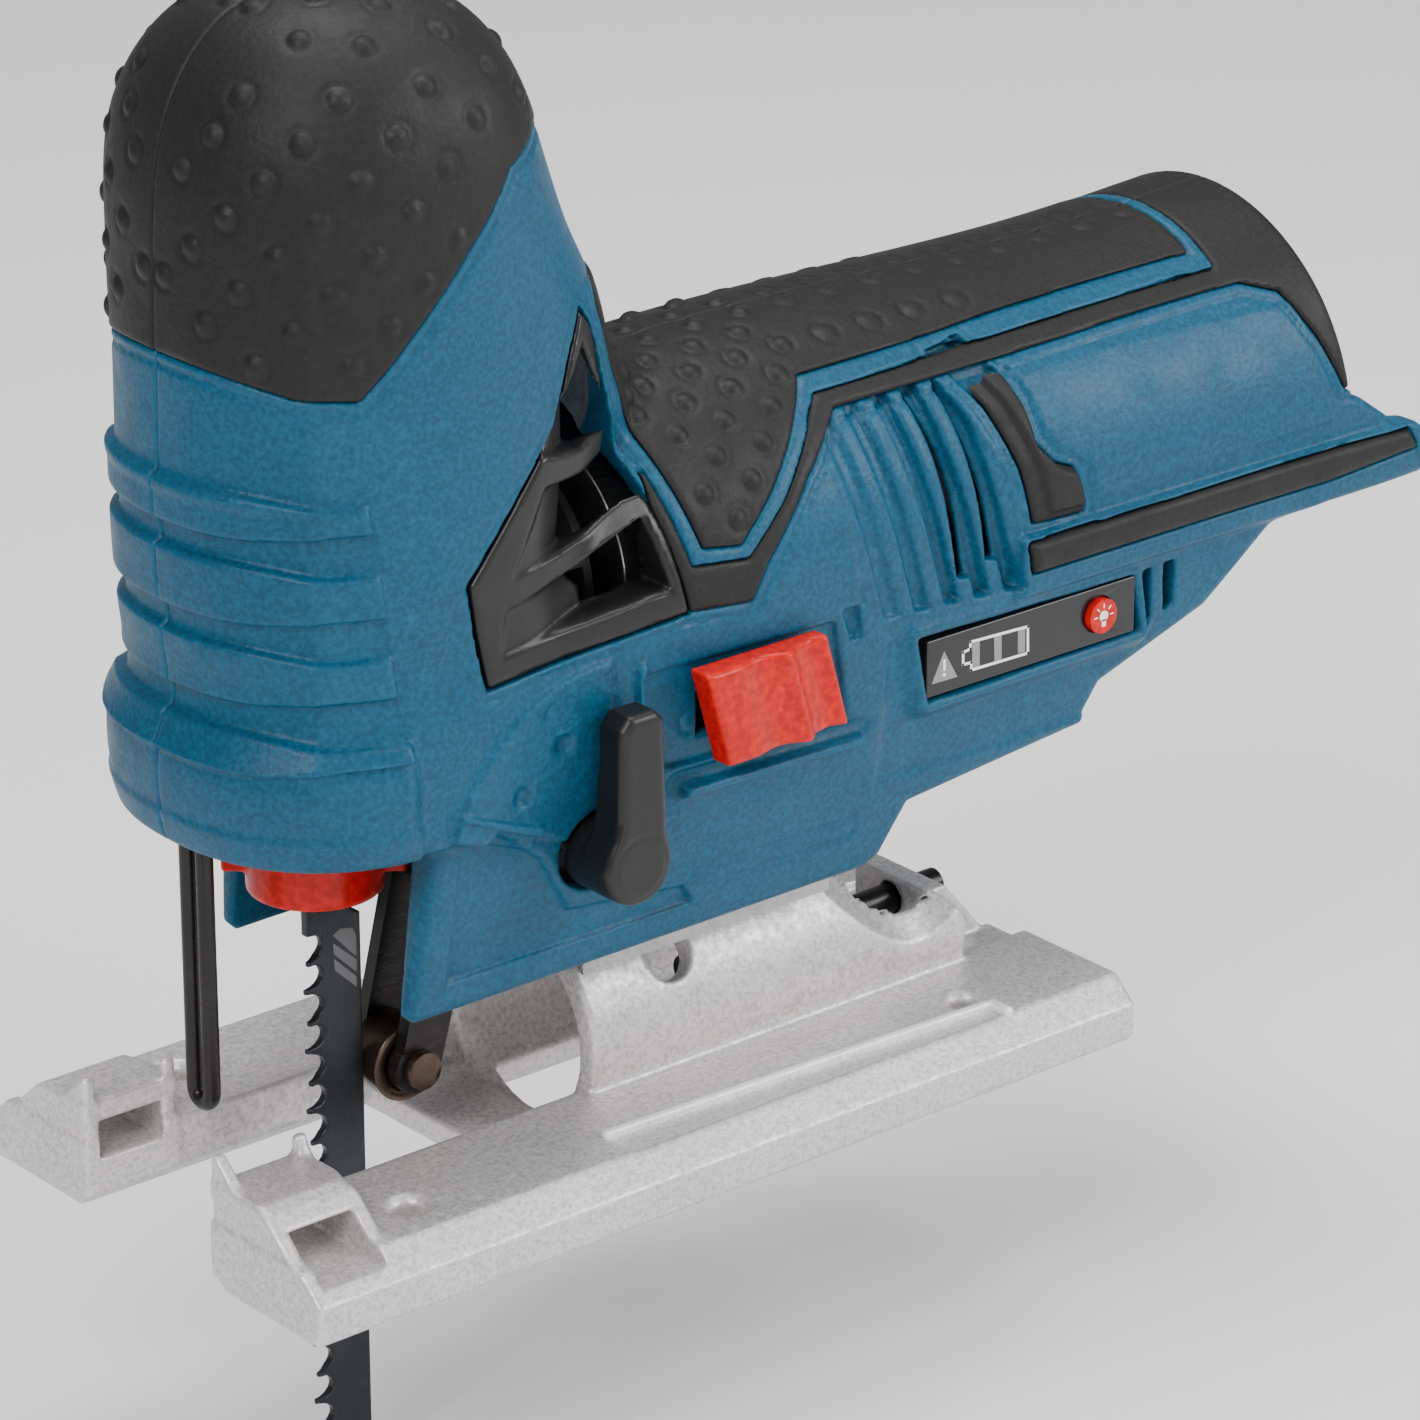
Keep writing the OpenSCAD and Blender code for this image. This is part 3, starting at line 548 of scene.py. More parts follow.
BODY_TOP = [(-41, 94), (-10, 97.5), (8, 98.8), (92, 98.8), (101, 99.4), (110, 100)]
BODY_MID = [(-41, 70), (8, 73), (60, 73.4), (121, 71.5)]
BODY_SIDE = [(-40.2, 29.6), (-39, 28.4), (31, 29.2), (33.4, 30.4), (37, 37), (65.8, 40.2), (68.6, 45.2),
             (85.8, 51.6), (96.2, 60.2), (104, 63), (121, 64), (121.3, 67.8), (109.2, 76.6),
             (108.2, 88), (106.4, 104), (-18, 104), (-30, 92), (-37.6, 52)]
CAVITY_SIDE = [(-37, 31.6), (30, 32.2), (34.5, 40), (64, 43.2), (67, 48.4), (84, 54.8), (95, 63.4),
               (103, 67.4), (140, 67.8), (140, 112), (-20, 112), (-37, 92)]


def column(x, y, z):
    """Upright grip: oval sections that close in a dome."""
    front, rear = curve(COLUMN_FRONT, z), curve(COLUMN_REAR, z)
    # The foot stands proud only ahead of the cheeks.
    half = curve(COLUMN_HALF, z)
    half = half - np.maximum(half - 24, 0) * step(x, -44, -40.5)
    centre, length = (front + rear) / 2, (rear - front) / 2
    u, v = np.abs(x - centre) / length, np.abs(y) / half
    w = np.maximum(z - DOME_Z, 0) / DOME_H
    ring = (u**2.35 + v**2.35 + 1e-9)**(1 / 2.35)
    size = (ring**2.5 + w**2.5)**(1 / 2.5)
    slope = np.sqrt((ring / size)**3 * ((u / ring)**2.7 / length**2 + (v / ring)**2.7 / half**2)
                    + (w / size)**3 / DOME_H**2 + 1e-9)
    shape = (size - 1) / slope
    ridge = ((x + 52.4) + (np.abs(y) - 18.7)) * 0.707
    shape -= 0.42 * np.clip(1 - np.abs(ridge) / 4.5, 0, 1)**1.5 * step(z, 56, 62) * step(-z, -146, -132)
    return shape


def side_half(x, z):
    """Half width of the tube's leaning side."""
    half, foot = curve(BODY_HALF, x), curve(BODY_FOOT, x)
    lean = np.clip((z - 30) / (curve(BODY_MID, x) - 30), -0.2, 1)
    return foot + (half - foot) * np.sin(lean * math.pi / 2)


def barrel(x, y, z, inset=0.0):
    """Body tube: an arched top on sides that lean in towards the foot."""
    half = curve(BODY_HALF, x) - inset
    top, mid = curve(BODY_TOP, x) - inset, curve(BODY_MID, x)
    rise = top - mid
    u, v = np.abs(y) / half, np.maximum(z - mid, 0) / rise
    size = np.sqrt(u**2 + v**2 + 1e-9)
    arch = (size - 1) / np.sqrt((u / size / half)**2 + (v / size / rise)**2 + 1e-9)
    side = (np.abs(y) - side_half(x, z) + inset) * 0.995
    return np.where(z > mid, arch, side)


body_side = side_outline(BODY_SIDE)
cavity_side = side_outline(CAVITY_SIDE)


def housing_form(x, y, z):
    """Outer form of the two shells, without any relief."""
    upright = smooth_max(column(x, y, z), SKIRT_Z - z, 1.2)
    body = smooth_max(barrel(x, y, z), body_side(x, z), 1.6)
    return smooth_min(upright, body, 2.2 + 9 * step(z, 90, 101))


def cavity(x, y, z):
    tube = np.maximum(barrel(x, y, z, WALL), cavity_side(x, z))
    upright = np.maximum(column(x, y, z) + WALL, SKIRT_Z - 0.5 - z)
    hollow = np.minimum(upright, tube)
    blade_room = box(x, y, z, (-60, -17, 10), (-13.5, 17, 56), 1)
    # Ahead of the cheeks the room keeps the column's own wall.
    blade_room = np.maximum(blade_room, np.where(x < -40, column(x, y, z) + WALL, -9))
    frame_room = box(x, y, z, (-9, -12.4, 10), (33, 12.4, 36), 0.5)
    return np.minimum(np.minimum(hollow, blade_room), frame_room)


# Outlines seen from the side, as X and Z.
HEAD = [(-75, 113.4), (-60, 112.8), (-53.5, 110), (-47.2, 109.4), (-26, 133), (-19, 135.4),
        (0, 136.2), (0, 165), (-75, 165)]
PAD = [(-9.6, 112), (-2.5, 95), (1.4, 80.4), (7, 79.6), (13.6, 85), (24, 94.6), (92, 95.4), (94, 115),
       (-9.6, 115)]
STRIPE = [(-11.4, 112), (-4.2, 94.4), (-0.4, 78.7), (7.9, 77.9), (14.6, 83.2), (24.6, 92.8),
          (93.8, 93.6), (95.8, 115), (-11.4, 115)]
TRIM = [(-1.2, 73.3), (8, 72.4), (11, 77), (18.6, 84.6), (26.5, 91), (59, 91.2), (96, 91.8),
        (101.4, 90), (105, 84), (108.2, 76.8), (125, 76), (125, 118), (0, 118), (-4, 86)]
GRILLE = [(-33.9, 84.4), (-31.2, 71), (-1.4, 73.3), (-3.4, 84), (-7, 96), (-12.2, 110.5), (-14.4, 113),
          (-17.4, 108), (-20.4, 100.6)]
TAB = [(43.7, 93.6), (50.1, 94.2), (52.9, 89.6), (54.2, 86), (54.6, 81.6), (57.4, 78.6), (60.6, 77.3),
       (62.4, 71), (53.4, 71.4), (51.6, 79), (48.4, 87)]
BUMPER = [(51.8, 69.5), (52.7, 65.2), (104, 65.4), (120.4, 66.6), (118.6, 69.6), (106, 69.8)]
RIB_PANEL = [(21, 92), (42.6, 92.6), (50.2, 78), (52.4, 63), (29, 64.4), (25.2, 67.5), (23.8, 76)]
DISPLAY = [(34.9, 60.6), (36.7, 51.9), (73, 52.3), (71.2, 60)]
POCKET = [(-8.8, 66.9), (-6.9, 53.2), (24.4, 52.8), (21.4, 66.7)]
PILL = [(2.4, 34.9), (27, 35.0), (28, 36.2), (27.6, 37.6), (2, 37.4), (1.2, 36.2)]
CHEEK_PANEL = [(-35.2, 32.6), (-34.2, 50), (-30.6, 53), (-22, 46.4), (-17, 38), (1, 36), (3, 32.8)]
LABEL = [(54.6, 90.4), (102.6, 89), (106.3, 76.8), (106.6, 73), (64, 72.4), (62.6, 77.8), (58.4, 80),
         (56.4, 83), (55.8, 87)]
LEVER_X, LEVER_Z, FAN_R = -13.8, 45.5, 24.6
zones = {name: side_outline(points) for name, points in {
    "head": HEAD, "pad": PAD, "stripe": STRIPE, "trim": TRIM, "grille": GRILLE, "tab": TAB,
    "bumper": BUMPER, "ribs": RIB_PANEL, "display": DISPLAY, "pocket": POCKET, "pill": PILL,
    "cheek": CHEEK_PANEL, "label": LABEL}.items()}


def lip(distance, groove=0.34):
    """A fine groove just outside an inlay's edge."""
    return -groove * np.exp(-((distance - 1.35) / 0.3)**2)


def column_ribs(x, z):
    """Four raised bands round the column, ending on a slanted line."""
    end = -46.4 + (96.9 - z) * 0.135
    within = step(end - x, 0, 0.8)
    height = 0 * x
    for top, foot in ((97.2, 93.2), (88.8, 82.8), (78.3, 72.6), (67.9, 65)):
        grow = 1.6 * step(-x, 50, 60)
        band = step(top + grow - z, 0, 0.9) * step(z - foot + grow * 0.4, 0, 0.5)
        height = np.maximum(height, band)
    sunk = -0.3 * step(z, 64.6, 65.4) * step(-z, -97, -96.4)
    return within * (1.25 * height + sunk)


def common_relief(gx, gz):
    """Relief that both shells share, outwards in millimetres."""
    at = {name: zone.values for name, zone in zones.items()}
    relief = column_ribs(gx, gz)
    relief += lip(at["head"])
    black_trim = np.maximum(at["trim"], -at["stripe"])
    relief += lip(black_trim) * (at["stripe"] > 0.3) * (at["grille"] > 0.6)
    relief += lip(at["grille"], 0.25) * (at["trim"] > 0) * (gx > -32)
    relief += 0.25 * step(-at["stripe"], -0.1, 0.3)
    for name, depth in (("head", 0.9), ("pad", 1.15), ("tab", 1.0)):
        relief -= depth * step(-at[name], -0.2, 0.2)
    relief -= 0.9 * step(-black_trim, -0.15, 0.15)
    # Ribs behind the grip: five bands between shallow channels, the last two cut through.
    panel = step(-at["ribs"], 0, 0.7)
    sweep = gx - 6.4 * (np.clip(92 - gz, 0, 30) / 27)**1.5
    channel = np.abs((sweep - 39) % 4.9 - 2.45) / 2.45
    depth = 0.55 + 1.1 * step(sweep, 22, 40)
    relief -= panel * depth * step(channel, 0.42, 0.7)
    relief -= panel * 0.25 * (at["tab"] > 0.6)
    relief -= 0.3 * np.exp(-((at["tab"] - 1.1) / 0.35)**2)
    relief += 0.28 * step(-at["label"], -0.1, 0.5) * (at["tab"] > 1.6)
    # Ledge under the side bumpers.
    relief += 1.3 * step(gx, 50.6, 51.6) * step(gz, 61.6, 62.8) * step(-gz, -70.6, -69.9)
    relief -= 1.6 * step(-at["bumper"], -0.15, 0.15)
    relief -= 0.35 * step(gx, 30, 31) * step(gz, 41, 42) * step(-gz, -61.9, -61.2)
    # Lower band of the skirt.
    relief += 0.35 * step(-gx, 41, 41.6) * step(-gz, -56.9, -56.2)
    # Border frame round the cheek.
    relief -= 0.85 * step(-at["cheek"], -0.1, 0.6)
    return relief


DISPLAY_FRAME = 25.65


def switch_relief(gx, gz):
    """Relief only on the side with the controls."""
    at = {name: zone.values for name, zone in zones.items()}
    relief = 0 * gx
    dx, dz = gx - LEVER_X, gz - LEVER_Z
    radius, angle = np.hypot(dx, dz), np.degrees(np.arctan2(dz, -dx))
    fan = np.maximum(np.maximum(radius - FAN_R, angle - 92), 25 - angle)
    relief += 0.65 * step(-fan, -0.1, 0.3) * (dz > 0)
    bar = np.abs(angle - 22.5) * radius * math.pi / 180
    ends = step(radius, 10.5, 11) * step(-radius, -24.8, -24.2) * (dz > 0)
    relief += 0.9 * step(2.0 - bar, 0, 0.5) * ends
    for x, z in ((-20.2, 61), (-26.5, 56)):
        relief -= 0.9 * np.sqrt(np.clip(1 - ((gx - x)**2 + (gz - z)**2) / 1.45**2, 0, 1))
    relief += 0.8 * step(-np.abs(gx + 8.6), -0.8, -0.5) * step(gz, 58.5, 59) * step(-gz, -68.6, -68.2)
    relief -= 0.8 * step(-at["pocket"], -0.1, 0.5)
    ledge = outline(gx, gz, [(-1.9, 50.6), (26.4, 50.2), (26.2, 48.7), (-1.6, 49)])
    relief += 1.7 * step(-ledge, -0.5, 0.5)
    relief -= 0.5 * np.exp(-((ledge - 1.4) / 0.5)**2) * (gz > 49.5)
    # The frame round the display stands level with its face.
    frame_rise = np.clip(DISPLAY_FRAME - side_half(gx, gz), 0, 2.5)
    relief += frame_rise * step(-at["display"], -3.2, -0.9)
    relief -= (1.0 + frame_rise) * step(-at["display"], -0.15, 0.2)
    relief += 0.25 * np.exp(-((at["display"] - 0.9) / 0.35)**2)
    relief -= 0.3 * np.exp(-(at["pill"] / 0.3)**2)
    # Generic marks: 0 and I on the fan, O beside the slider, and the slider's end stop.
    zero = np.abs(np.hypot((gx + 13.3) / 0.75, gz - 67.9) - 1.15)
    relief -= 0.3 * step(0.35 - zero, 0, 0.2)
    tick = outline(gx, gz, [(-23.3, 64.9), (-22.9, 64.7), (-22.1, 66.3), (-22.5, 66.5)])
    relief -= 0.3 * step(-tick, -0.2, 0.05)
    ring = np.abs(np.hypot(gx + 0.1, gz - 58.7) - 1.6)
    relief -= 0.3 * step(0.35 - ring, 0, 0.2) * (gx < 0)
    stop = outline(gx, gz, [(22.4, 67.6), (25.2, 67.8), (25.9, 63.4), (24.2, 63)])
    relief -= 1.0 * step(-stop, -0.1, 0.3)
    return relief


grid_x, grid_z = SideMap.gx, SideMap.gz
shared_map = SideMap(common_relief(grid_x, grid_z))
left_map = SideMap(shared_map.values + switch_relief(grid_x, grid_z))
slots_through = SideMap(np.minimum(
    np.minimum(outline(grid_x, grid_z, [(37.4, 90.6), (38.4, 90.6), (40.6, 83), (43.6, 66.6), (41.4, 67),
                                        (39.6, 76), (38.4, 85)]),
               outline(grid_x, grid_z, [(42.4, 90.4), (43.2, 90.4), (45.8, 80), (48.5, 67.8), (46, 68.4),
                                        (44.4, 78), (43.2, 86)])),
    np.minimum(outline(grid_x, grid_z, [(73.2, 60), (75.1, 60), (75.6, 53), (73.9, 52.6)]),
               outline(grid_x, grid_z, [(77.2, 60.2), (79.2, 60.2), (79.6, 54), (78, 53.2)]))))
switch_window = SideMap(outline(grid_x, grid_z, [(0.6, 62.6), (0.9, 56.4), (17.6, 56.4), (17.2, 62.6)]))


def shell(relief, controls):
    """One half of the blue housing, on the side where y is negative."""
    def field(x, y, z):
        solid = housing_form(x, y, z) - relief(x, z)
        solid = smooth_max(solid, -cavity(x, y, z), 0.5)
        solid = smooth_max(solid, 0.4 - zones["grille"](x, z), 0.2)
        solid = smooth_max(solid, -np.maximum(slots_through(x, z), y + 15), 0.4)
        if controls:
            solid = smooth_max(solid, -np.maximum(switch_window(x, z), y + 15), 0.4)
            lever_hole = np.maximum(np.hypot(x - LEVER_X, z - LEVER_Z) - 5.6, y + 10)
            button_hole = np.maximum(np.hypot(x - 65.3, z - 56.4) - 3.3, y + 15)
            solid = smooth_max(solid, -np.minimum(lever_hole, button_hole), 0.3)
        return smooth_max(solid, y + 0.02, 0.05)
    return field


def inlay(distance, lift, depth, edge=0.7, bumps=None):
    """A soft skin moulded into the shell, inside one outline."""
    def field(x, y, z):
        form = housing_form(x, y, z)
        outer = form - lift
        if bumps is not None:
            outer = outer - bumps(x, y, z)
        skin = smooth_max(outer, distance(x, z) + 0.05, edge)
        skin = smooth_max(skin, -(form + depth), 0.2)
        return smooth_max(skin, y + 0.02, 0.05)
    return field


def bump_field(centres, radius, height):
    """Low round bumps, each in a faint ring groove."""
    centres = np.array(centres)

    def field(x, y, z):
        shape = np.shape(x)
        points = np.stack([np.ravel(v) for v in (x, y, z)], 1)
        if points.size == 0:
            return np.zeros(shape)
        near = np.full(len(points), 99.0)
        for part in range(0, len(points), 20000):
            block = points[part:part + 20000]
            gap = ((block**2).sum(1)[:, None] - 2 * block @ centres.T + (centres**2).sum(1))
            near[part:part + 20000] = np.sqrt(np.maximum(gap.min(1), 0))
        dome = height * np.clip(1 - (near / radius)**2, 0, 1)
        ring = -0.18 * np.exp(-((near - radius - 0.25) / 0.35)**2)
        return (dome + ring).reshape(shape)
    return field


BUMP_PITCH, BUMP_RISE = 5.5, 8.6


def head_bumps():
    """Staggered columns of bumps round the head, and rows across the top of the dome."""
    points = []
    theta = np.linspace(0, math.pi, 400)
    for row in range(9):
        z = 143.8 - BUMP_RISE / 2 * row
        front, rear, half = (float(curve(t, z)) for t in (COLUMN_FRONT, COLUMN_REAR, COLUMN_HALF))
        shrink = (1 - (max(z - DOME_Z, 0) / DOME_H)**2.5)**0.4
        reach = shrink * (np.abs(np.cos(theta))**2.35 + np.sin(theta)**2.35)**(-1 / 2.35)
        x = (front + rear) / 2 - (rear - front) / 2 * reach * np.cos(theta)
        y = -half * reach * np.sin(theta)
        length = np.concatenate([[0], np.cumsum(np.hypot(np.diff(x), np.diff(y)))])
        # Columns keep their place on the straight part, whatever the row's own girth.
        middle = length[200]
        for i in range(-9, 10):
            at = middle + (2 * i + row % 2) * BUMP_PITCH
            if 0.8 < at < length[-1] - 0.8:
                points.append((np.interp(at, length, x), np.interp(at, length, y), z))
    for i in range(-4, 5):
        for j in range(5):
            x, y = i * BUMP_PITCH, -BUMP_RISE / 4 - j * BUMP_RISE + i % 2 * BUMP_RISE / 2
            ring = ((abs(x) / 23.2)**2.35 + (abs(y) / 23.7)**2.35)**(1 / 2.35)
            if ring < 0.7 and y < 0:
                points.append((x - 35.4, y, DOME_Z + DOME_H * (1 - ring**2.5)**0.4))
    points = settle(np.array(points), housing_form, 4)
    edge = zones["head"](points[:, 0], points[:, 2])
    return bump_field(points[edge < -1.9], 1.4, 0.75)


def pad_bumps():
    """Staggered bumps on the spike, and fainter ones along the top of the barrel."""
    strong, faint = [], []
    for i in range(-3, 26):
        for j in range(6):
            x, angle = i * 3.6, math.radians(4 + j * 18 + (i % 2) * 9)
            place = (x, -25.4 * math.cos(angle), 73.4 + 25.4 * math.sin(angle))
            if x < 27:
                strong.append(place)
            elif angle > 1.0 and i % 2:
                faint.append(place)
    strong, faint = (settle(np.array(v), housing_form, 12) for v in (strong, faint))

    def inside(points):
        return points[(zones["pad"](points[:, 0], points[:, 2]) < -1.7) & (points[:, 1] < -0.5)]
    near, far = bump_field(inside(strong), 1.35, 0.8), bump_field(inside(faint), 1.6, 0.2)
    return lambda x, y, z: near(x, y, z) + far(x, y, z)


GRILLE_FACE, GRILLE_BACK = 0.15, 19.4
LOUVRES = [
    [(-24.4, 97.4), (-19.4, 103.4), (-14.4, 109.2), (-8.6, 97.8), (-15.4, 96.4)],
    [(-28.4, 83.2), (-22.4, 94), (-15.6, 93.6), (-8, 95), (-6, 88.4), (-14, 85.2)],
    [(-29.6, 74), (-28.8, 80.4), (-16, 82.4), (-5.6, 85.6), (-3.6, 76.6)]]
louvres = [side_outline(points) for points in LOUVRES]
louvre_depth = SideMap(sum((0.3 + 4.2 * step(grid_x, -26, -9)) * step(-recess.values, 0, 0.9)
                           for recess in louvres))
MOUTH_X = -13.4


def grille_field(x, y, z):
    """Smooth inlay with three recesses that deepen towards their open ends."""
    solid = housing_form(x, y, z) - GRILLE_FACE + louvre_depth(x, z)
    solid = smooth_max(solid, zones["grille"](x, z) + 0.1, 0.5)
    solid = smooth_max(solid, y + GRILLE_BACK, 0.2)
    mouth = 99.0
    for recess in louvres:
        mouth = np.minimum(mouth, np.maximum(recess(x, z) + 1.1, MOUTH_X + 0.12 * (z - 85) - x))
    return smooth_max(solid, -mouth, 0.4)


def tab_field(x, y, z):
    """Flat black tab: a low strip in front and a raised plate behind it."""
    form = housing_form(x, y, z)
    lift = 0.25 + 0.6 * step(-zones["tab"](x - 1.6, z), 0.9, 1.5)
    solid = smooth_max(form - lift, zones["tab"](x, z) + 0.12, 0.4)
    return smooth_max(solid, -(form + 0.8), 0.2)


def bumper_field(x, y, z):
    form = housing_form(x, y, z)
    edge = zones["bumper"](x, z) + 0.1
    solid = smooth_max(form - 1.9, edge, 1.3)
    return smooth_max(solid, -(form + 1.0), 0.2)


def build_housing():
    low, high = (-64, -29, 26), (123, 1.2, 155)
    left = surface("housing_left_shell", shell(left_map, True), low, high)
    dress(left, "blue_nylon", "housing", "housing_left")
    form = surface("right_form", shell(shared_map, False), low, high)
    right = mirrored(form, "housing_right_shell")
    bpy.data.objects.remove(form)
    dress(right, "blue_nylon", "housing", "housing_right")


def build_pair(name, field, low, high, slot, *ends):
    """A piece on the switch side and its mirror image, which stand for their CAD nodes."""
    left = surface(name + "_left_skin", field, low, high)
    right = mirrored(left, name + "_right_skin")
    dress(left, slot, "housing", ends[0])
    dress(right, slot, "housing", *ends[1:])


def build_inlays():
    build_pair("head_grip", inlay(zones["head"], 0.3, 0.85, 0.5, head_bumps()),
               (-63, -26.5, 106), (2, 1, 155), "black_grip", "head_grip_left", "head_grip_right")
    build_pair("barrel_grip", inlay(zones["pad"], 0.35, 1.1, 0.6, pad_bumps()),
               (-12, -27.5, 77), (96, 1, 117), "black_grip", "barrel_grip_left", "barrel_grip_right")

    def trim(x, z):
        return smooth_max(zones["trim"](x, z), -zones["stripe"](x, z), 0.2)
    build_pair("side_trim", inlay(trim, 0.2, 0.85, 0.5), (-14, -27.5, 70), (112, 1, 117), "black_grip",
               "side_trim_left", "side_trim_right")
    build_pair("vent_grille", grille_field, (-36, -27, 68), (0, -17, 115), "black_plastic",
               "vent_grille_left", "vent_grille_right")
    build_pair("side_tab", tab_field, (42, -28, 69), (64, -20, 96), "black_grip", "side_tabs")
    build_pair("bumper", bumper_field, (50, -30, 63), (122, -20, 72), "black_grip", "bumpers")


# ---------- controls ----------

LEVER = [(-18.6, 45.5), (-16.9, 51.8), (-16.5, 63.4), (-15, 65.1), (-10.8, 65.1), (-9.5, 63.8),
         (-9.2, 45.5)]


def lever_field(x, y, z):
    """Arm and hub with softened edges; the hub's cap is a shallow disc."""
    radius = np.hypot(x - LEVER_X, z - LEVER_Z)
    side = smooth_min(outline(x, z, LEVER) + 0.2, radius - 4.9, 1.2)
    lean = 0.35 * step(z, 50, 65)
    arm = smooth_max(smooth_max(side, -30.5 + lean - y, 1.3), y + 25.3 + 0.5 * step(z, 52, 60), 0.3)
    hub = smooth_max(radius - 4.9, np.abs(y + 25) - 3.2, 0.3)
    cap = 0.14 * np.exp(-((radius - 3.9) / 0.25)**2) * step(-y, 29.5, 30)
    hole = np.maximum(radius - 2.3, np.abs(y + 26) - 2)
    return smooth_max(smooth_min(arm, hub, 0.2) + cap, -hole, 0.1)


def slider_field(x, y, z):
    """Slanted thumb plate: dished in front, a rounded step down at the back."""
    across = x + 0.287 * (z - 66.8)
    face = 28.15 + 1.1 * step(-across, -12.6, -10.4) + 0.25 * np.exp(-((across - 10.2) / 0.7)**2)
    face = face - 0.85 * np.exp(-((across - 6.0) / 2.6)**2) + 0.4 * np.exp(-((across - 9.6) / 0.9)**2)
    face = face - 0.5 * step(across, 12, 15) + 0.7 * step(across, 14.5, 17.5)
    edge = np.maximum(np.abs(across - 7.5) - 10, np.abs(z - 60.35) - 6.45)
    edge = edge + 0.12 * np.abs(np.sin(across * 6)) * step(-z, -54.6, -54.2) * step(across, 3, 4)
    plate = smooth_max(smooth_max(edge + 0.1, -face - y, 0.9), y + 25.7, 0.2)
    stem = box(x, y, z, (7.0, -25.9, 57.6), (16.8, -21.2, 61.4), 0.3)
    return np.minimum(plate, stem)


def plate_piece(name, outlines, outer, inner, slot, body):
    """Thin printed shapes, each an outline seen from the side, between two depths."""
    mesh = bmesh.new()
    for points in outlines:
        rings = []
        for y in (outer, inner):
            rings.append([mesh.verts.new((x * MM, y * MM, z * MM)) for x, z in points])
        mesh.faces.new(rings[0])
        mesh.faces.new(rings[1][::-1])
        count = len(points)
        for i in range(count):
            j = (i + 1) % count
            mesh.faces.new((rings[0][j], rings[0][i], rings[1][i], rings[1][j]))
    bmesh.ops.recalc_face_normals(mesh, faces=mesh.faces)
    data = bpy.data.meshes.new(name)
    mesh.to_mesh(data)
    mesh.free()
    thing = bpy.data.objects.new(name, data)
    bpy.context.scene.collection.objects.link(thing)
    thing.data.materials.append(MATERIALS[slot])
    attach(thing, body)
    return thing


def stroke_line(points, width):
    """Outlines of straight bars that follow a line of points."""
    bars = []
    for (ax, az), (bx, bz) in zip(points, points[1:]):
        length = math.hypot(bx - ax, bz - az)
        nx, nz = -(bz - az) / length * width / 2, (bx - ax) / length * width / 2
        ex, ez = (bx - ax) / length * width / 2, (bz - az) / length * width / 2
        bars.append([(ax + nx - ex, az + nz - ez), (bx + nx + ex, bz + nz + ez),
                     (bx - nx + ex, bz - nz + ez), (ax - nx - ex, az - nz - ez)])
    return bars


def disc(x, z, r, count=24):
    turns = [2 * math.pi * i / count for i in range(count)]
    return [(x + r * math.cos(a), z + r * math.sin(a)) for a in turns]


DISPLAY_Y, BUTTON_Y, BULB = -25.4, -26.3, (65.3, 56.4)


def build_display():
    """Charge display: a battery outline with bars, a warning triangle and a bulb on the button."""
    battery = [(43.3, 58.3), (43.3, 57.4), (42.1, 57.2), (42.1, 55.6), (43.5, 55.5), (43.5, 54.5),
               (53.1, 54.3), (53.0, 57.9), (43.3, 58.3)]
    plate_piece("display_battery", stroke_line(battery, 0.34), DISPLAY_Y - 0.06, DISPLAY_Y + 0.1,
                "print_white", "housing")
    bars = [[(x, 58.0), (x + 1.25, 58.0), (x + 1.3, 54.6), (x + 0.1, 54.7)] for x in (43.6, 47.3, 51.3)]
    bars.append([(36.9, 54.3), (41.2, 54.2), (38.9, 58.2)])
    plate_piece("display_bars", bars, DISPLAY_Y - 0.04, DISPLAY_Y + 0.1, "print_grey", "housing")
    warning = [[(38.75, 57.1), (39.15, 57.1), (39.1, 55.6), (38.8, 55.6)], disc(38.95, 55.05, 0.24, 12)]
    plate_piece("display_warning", warning, DISPLAY_Y - 0.08, DISPLAY_Y + 0.1, "print_white", "housing")
    bx, bz = BULB
    cap = [(bx - 0.36, bz - 0.4), (bx + 0.36, bz - 0.4), (bx + 0.3, bz - 1.35), (bx - 0.3, bz - 1.35)]
    bulb = [disc(bx, bz + 0.05, 0.72), cap]
    for degrees in (0, 45, 90, 135, 180):
        c, s = math.cos(math.radians(degrees)), math.sin(math.radians(degrees))
        ray = [(bx + r * c, bz + 0.05 + r * s) for r in (1.15, 1.6)]
        bulb += stroke_line(ray, 0.16)
    plate_piece("button_bulb", bulb, BUTTON_Y - 0.05, BUTTON_Y + 0.1, "print_white", "button")


def build_controls():
    lever = surface("orbital_lever_arm", lever_field, (-21, -32, 39), (-7, -23, 67), 0.35)
    dress(lever, "black_plastic", "lever", "orbital_lever")
    slider = surface("slider_plate", slider_field, (-4, -31, 52), (22, -20, 68), 0.35)
    dress(slider, "red_plastic", "switch", "power_slider")


# ---------- base plate ----------

PLATE_X, BLOCK_X, GUIDE_X, GUIDE_Z = 65.3, -51.9, -58.6, 9.0
RAIL = [(15, 0), (33.2, 0), (34, 0.8), (34, 5.2), (30.4, 8.5), (13, 8.5), (13, 2)]
BLOCK = [(13, 2), (32, 2), (29, 8.5), (23.6, 13.2), (22, 14), (13, 14)]
FRONT_LIP = [(13, 12), (13, 17.3), (13.8, 17.4), (17.6, 14), (18.4, 12)]
REAR_LIP = [(13, 12), (13, 16.4), (13.9, 16.6), (15, 14), (15.4, 12)]
ARCH_Z, ARCH_OUT, ARCH_IN, ARCH_X = 13.1, 15.7, 12.7, (-9.4, 52.6)
ARCH_CUT = [(41.5, 30), (41.5, 28.9), (52.7, 14.5), (54, 14.5), (54, 30)]
TAIL = [(53.2, 2), (53.2, 15.2), (56.6, 15.2), (63.6, 7), (63.6, 2)]
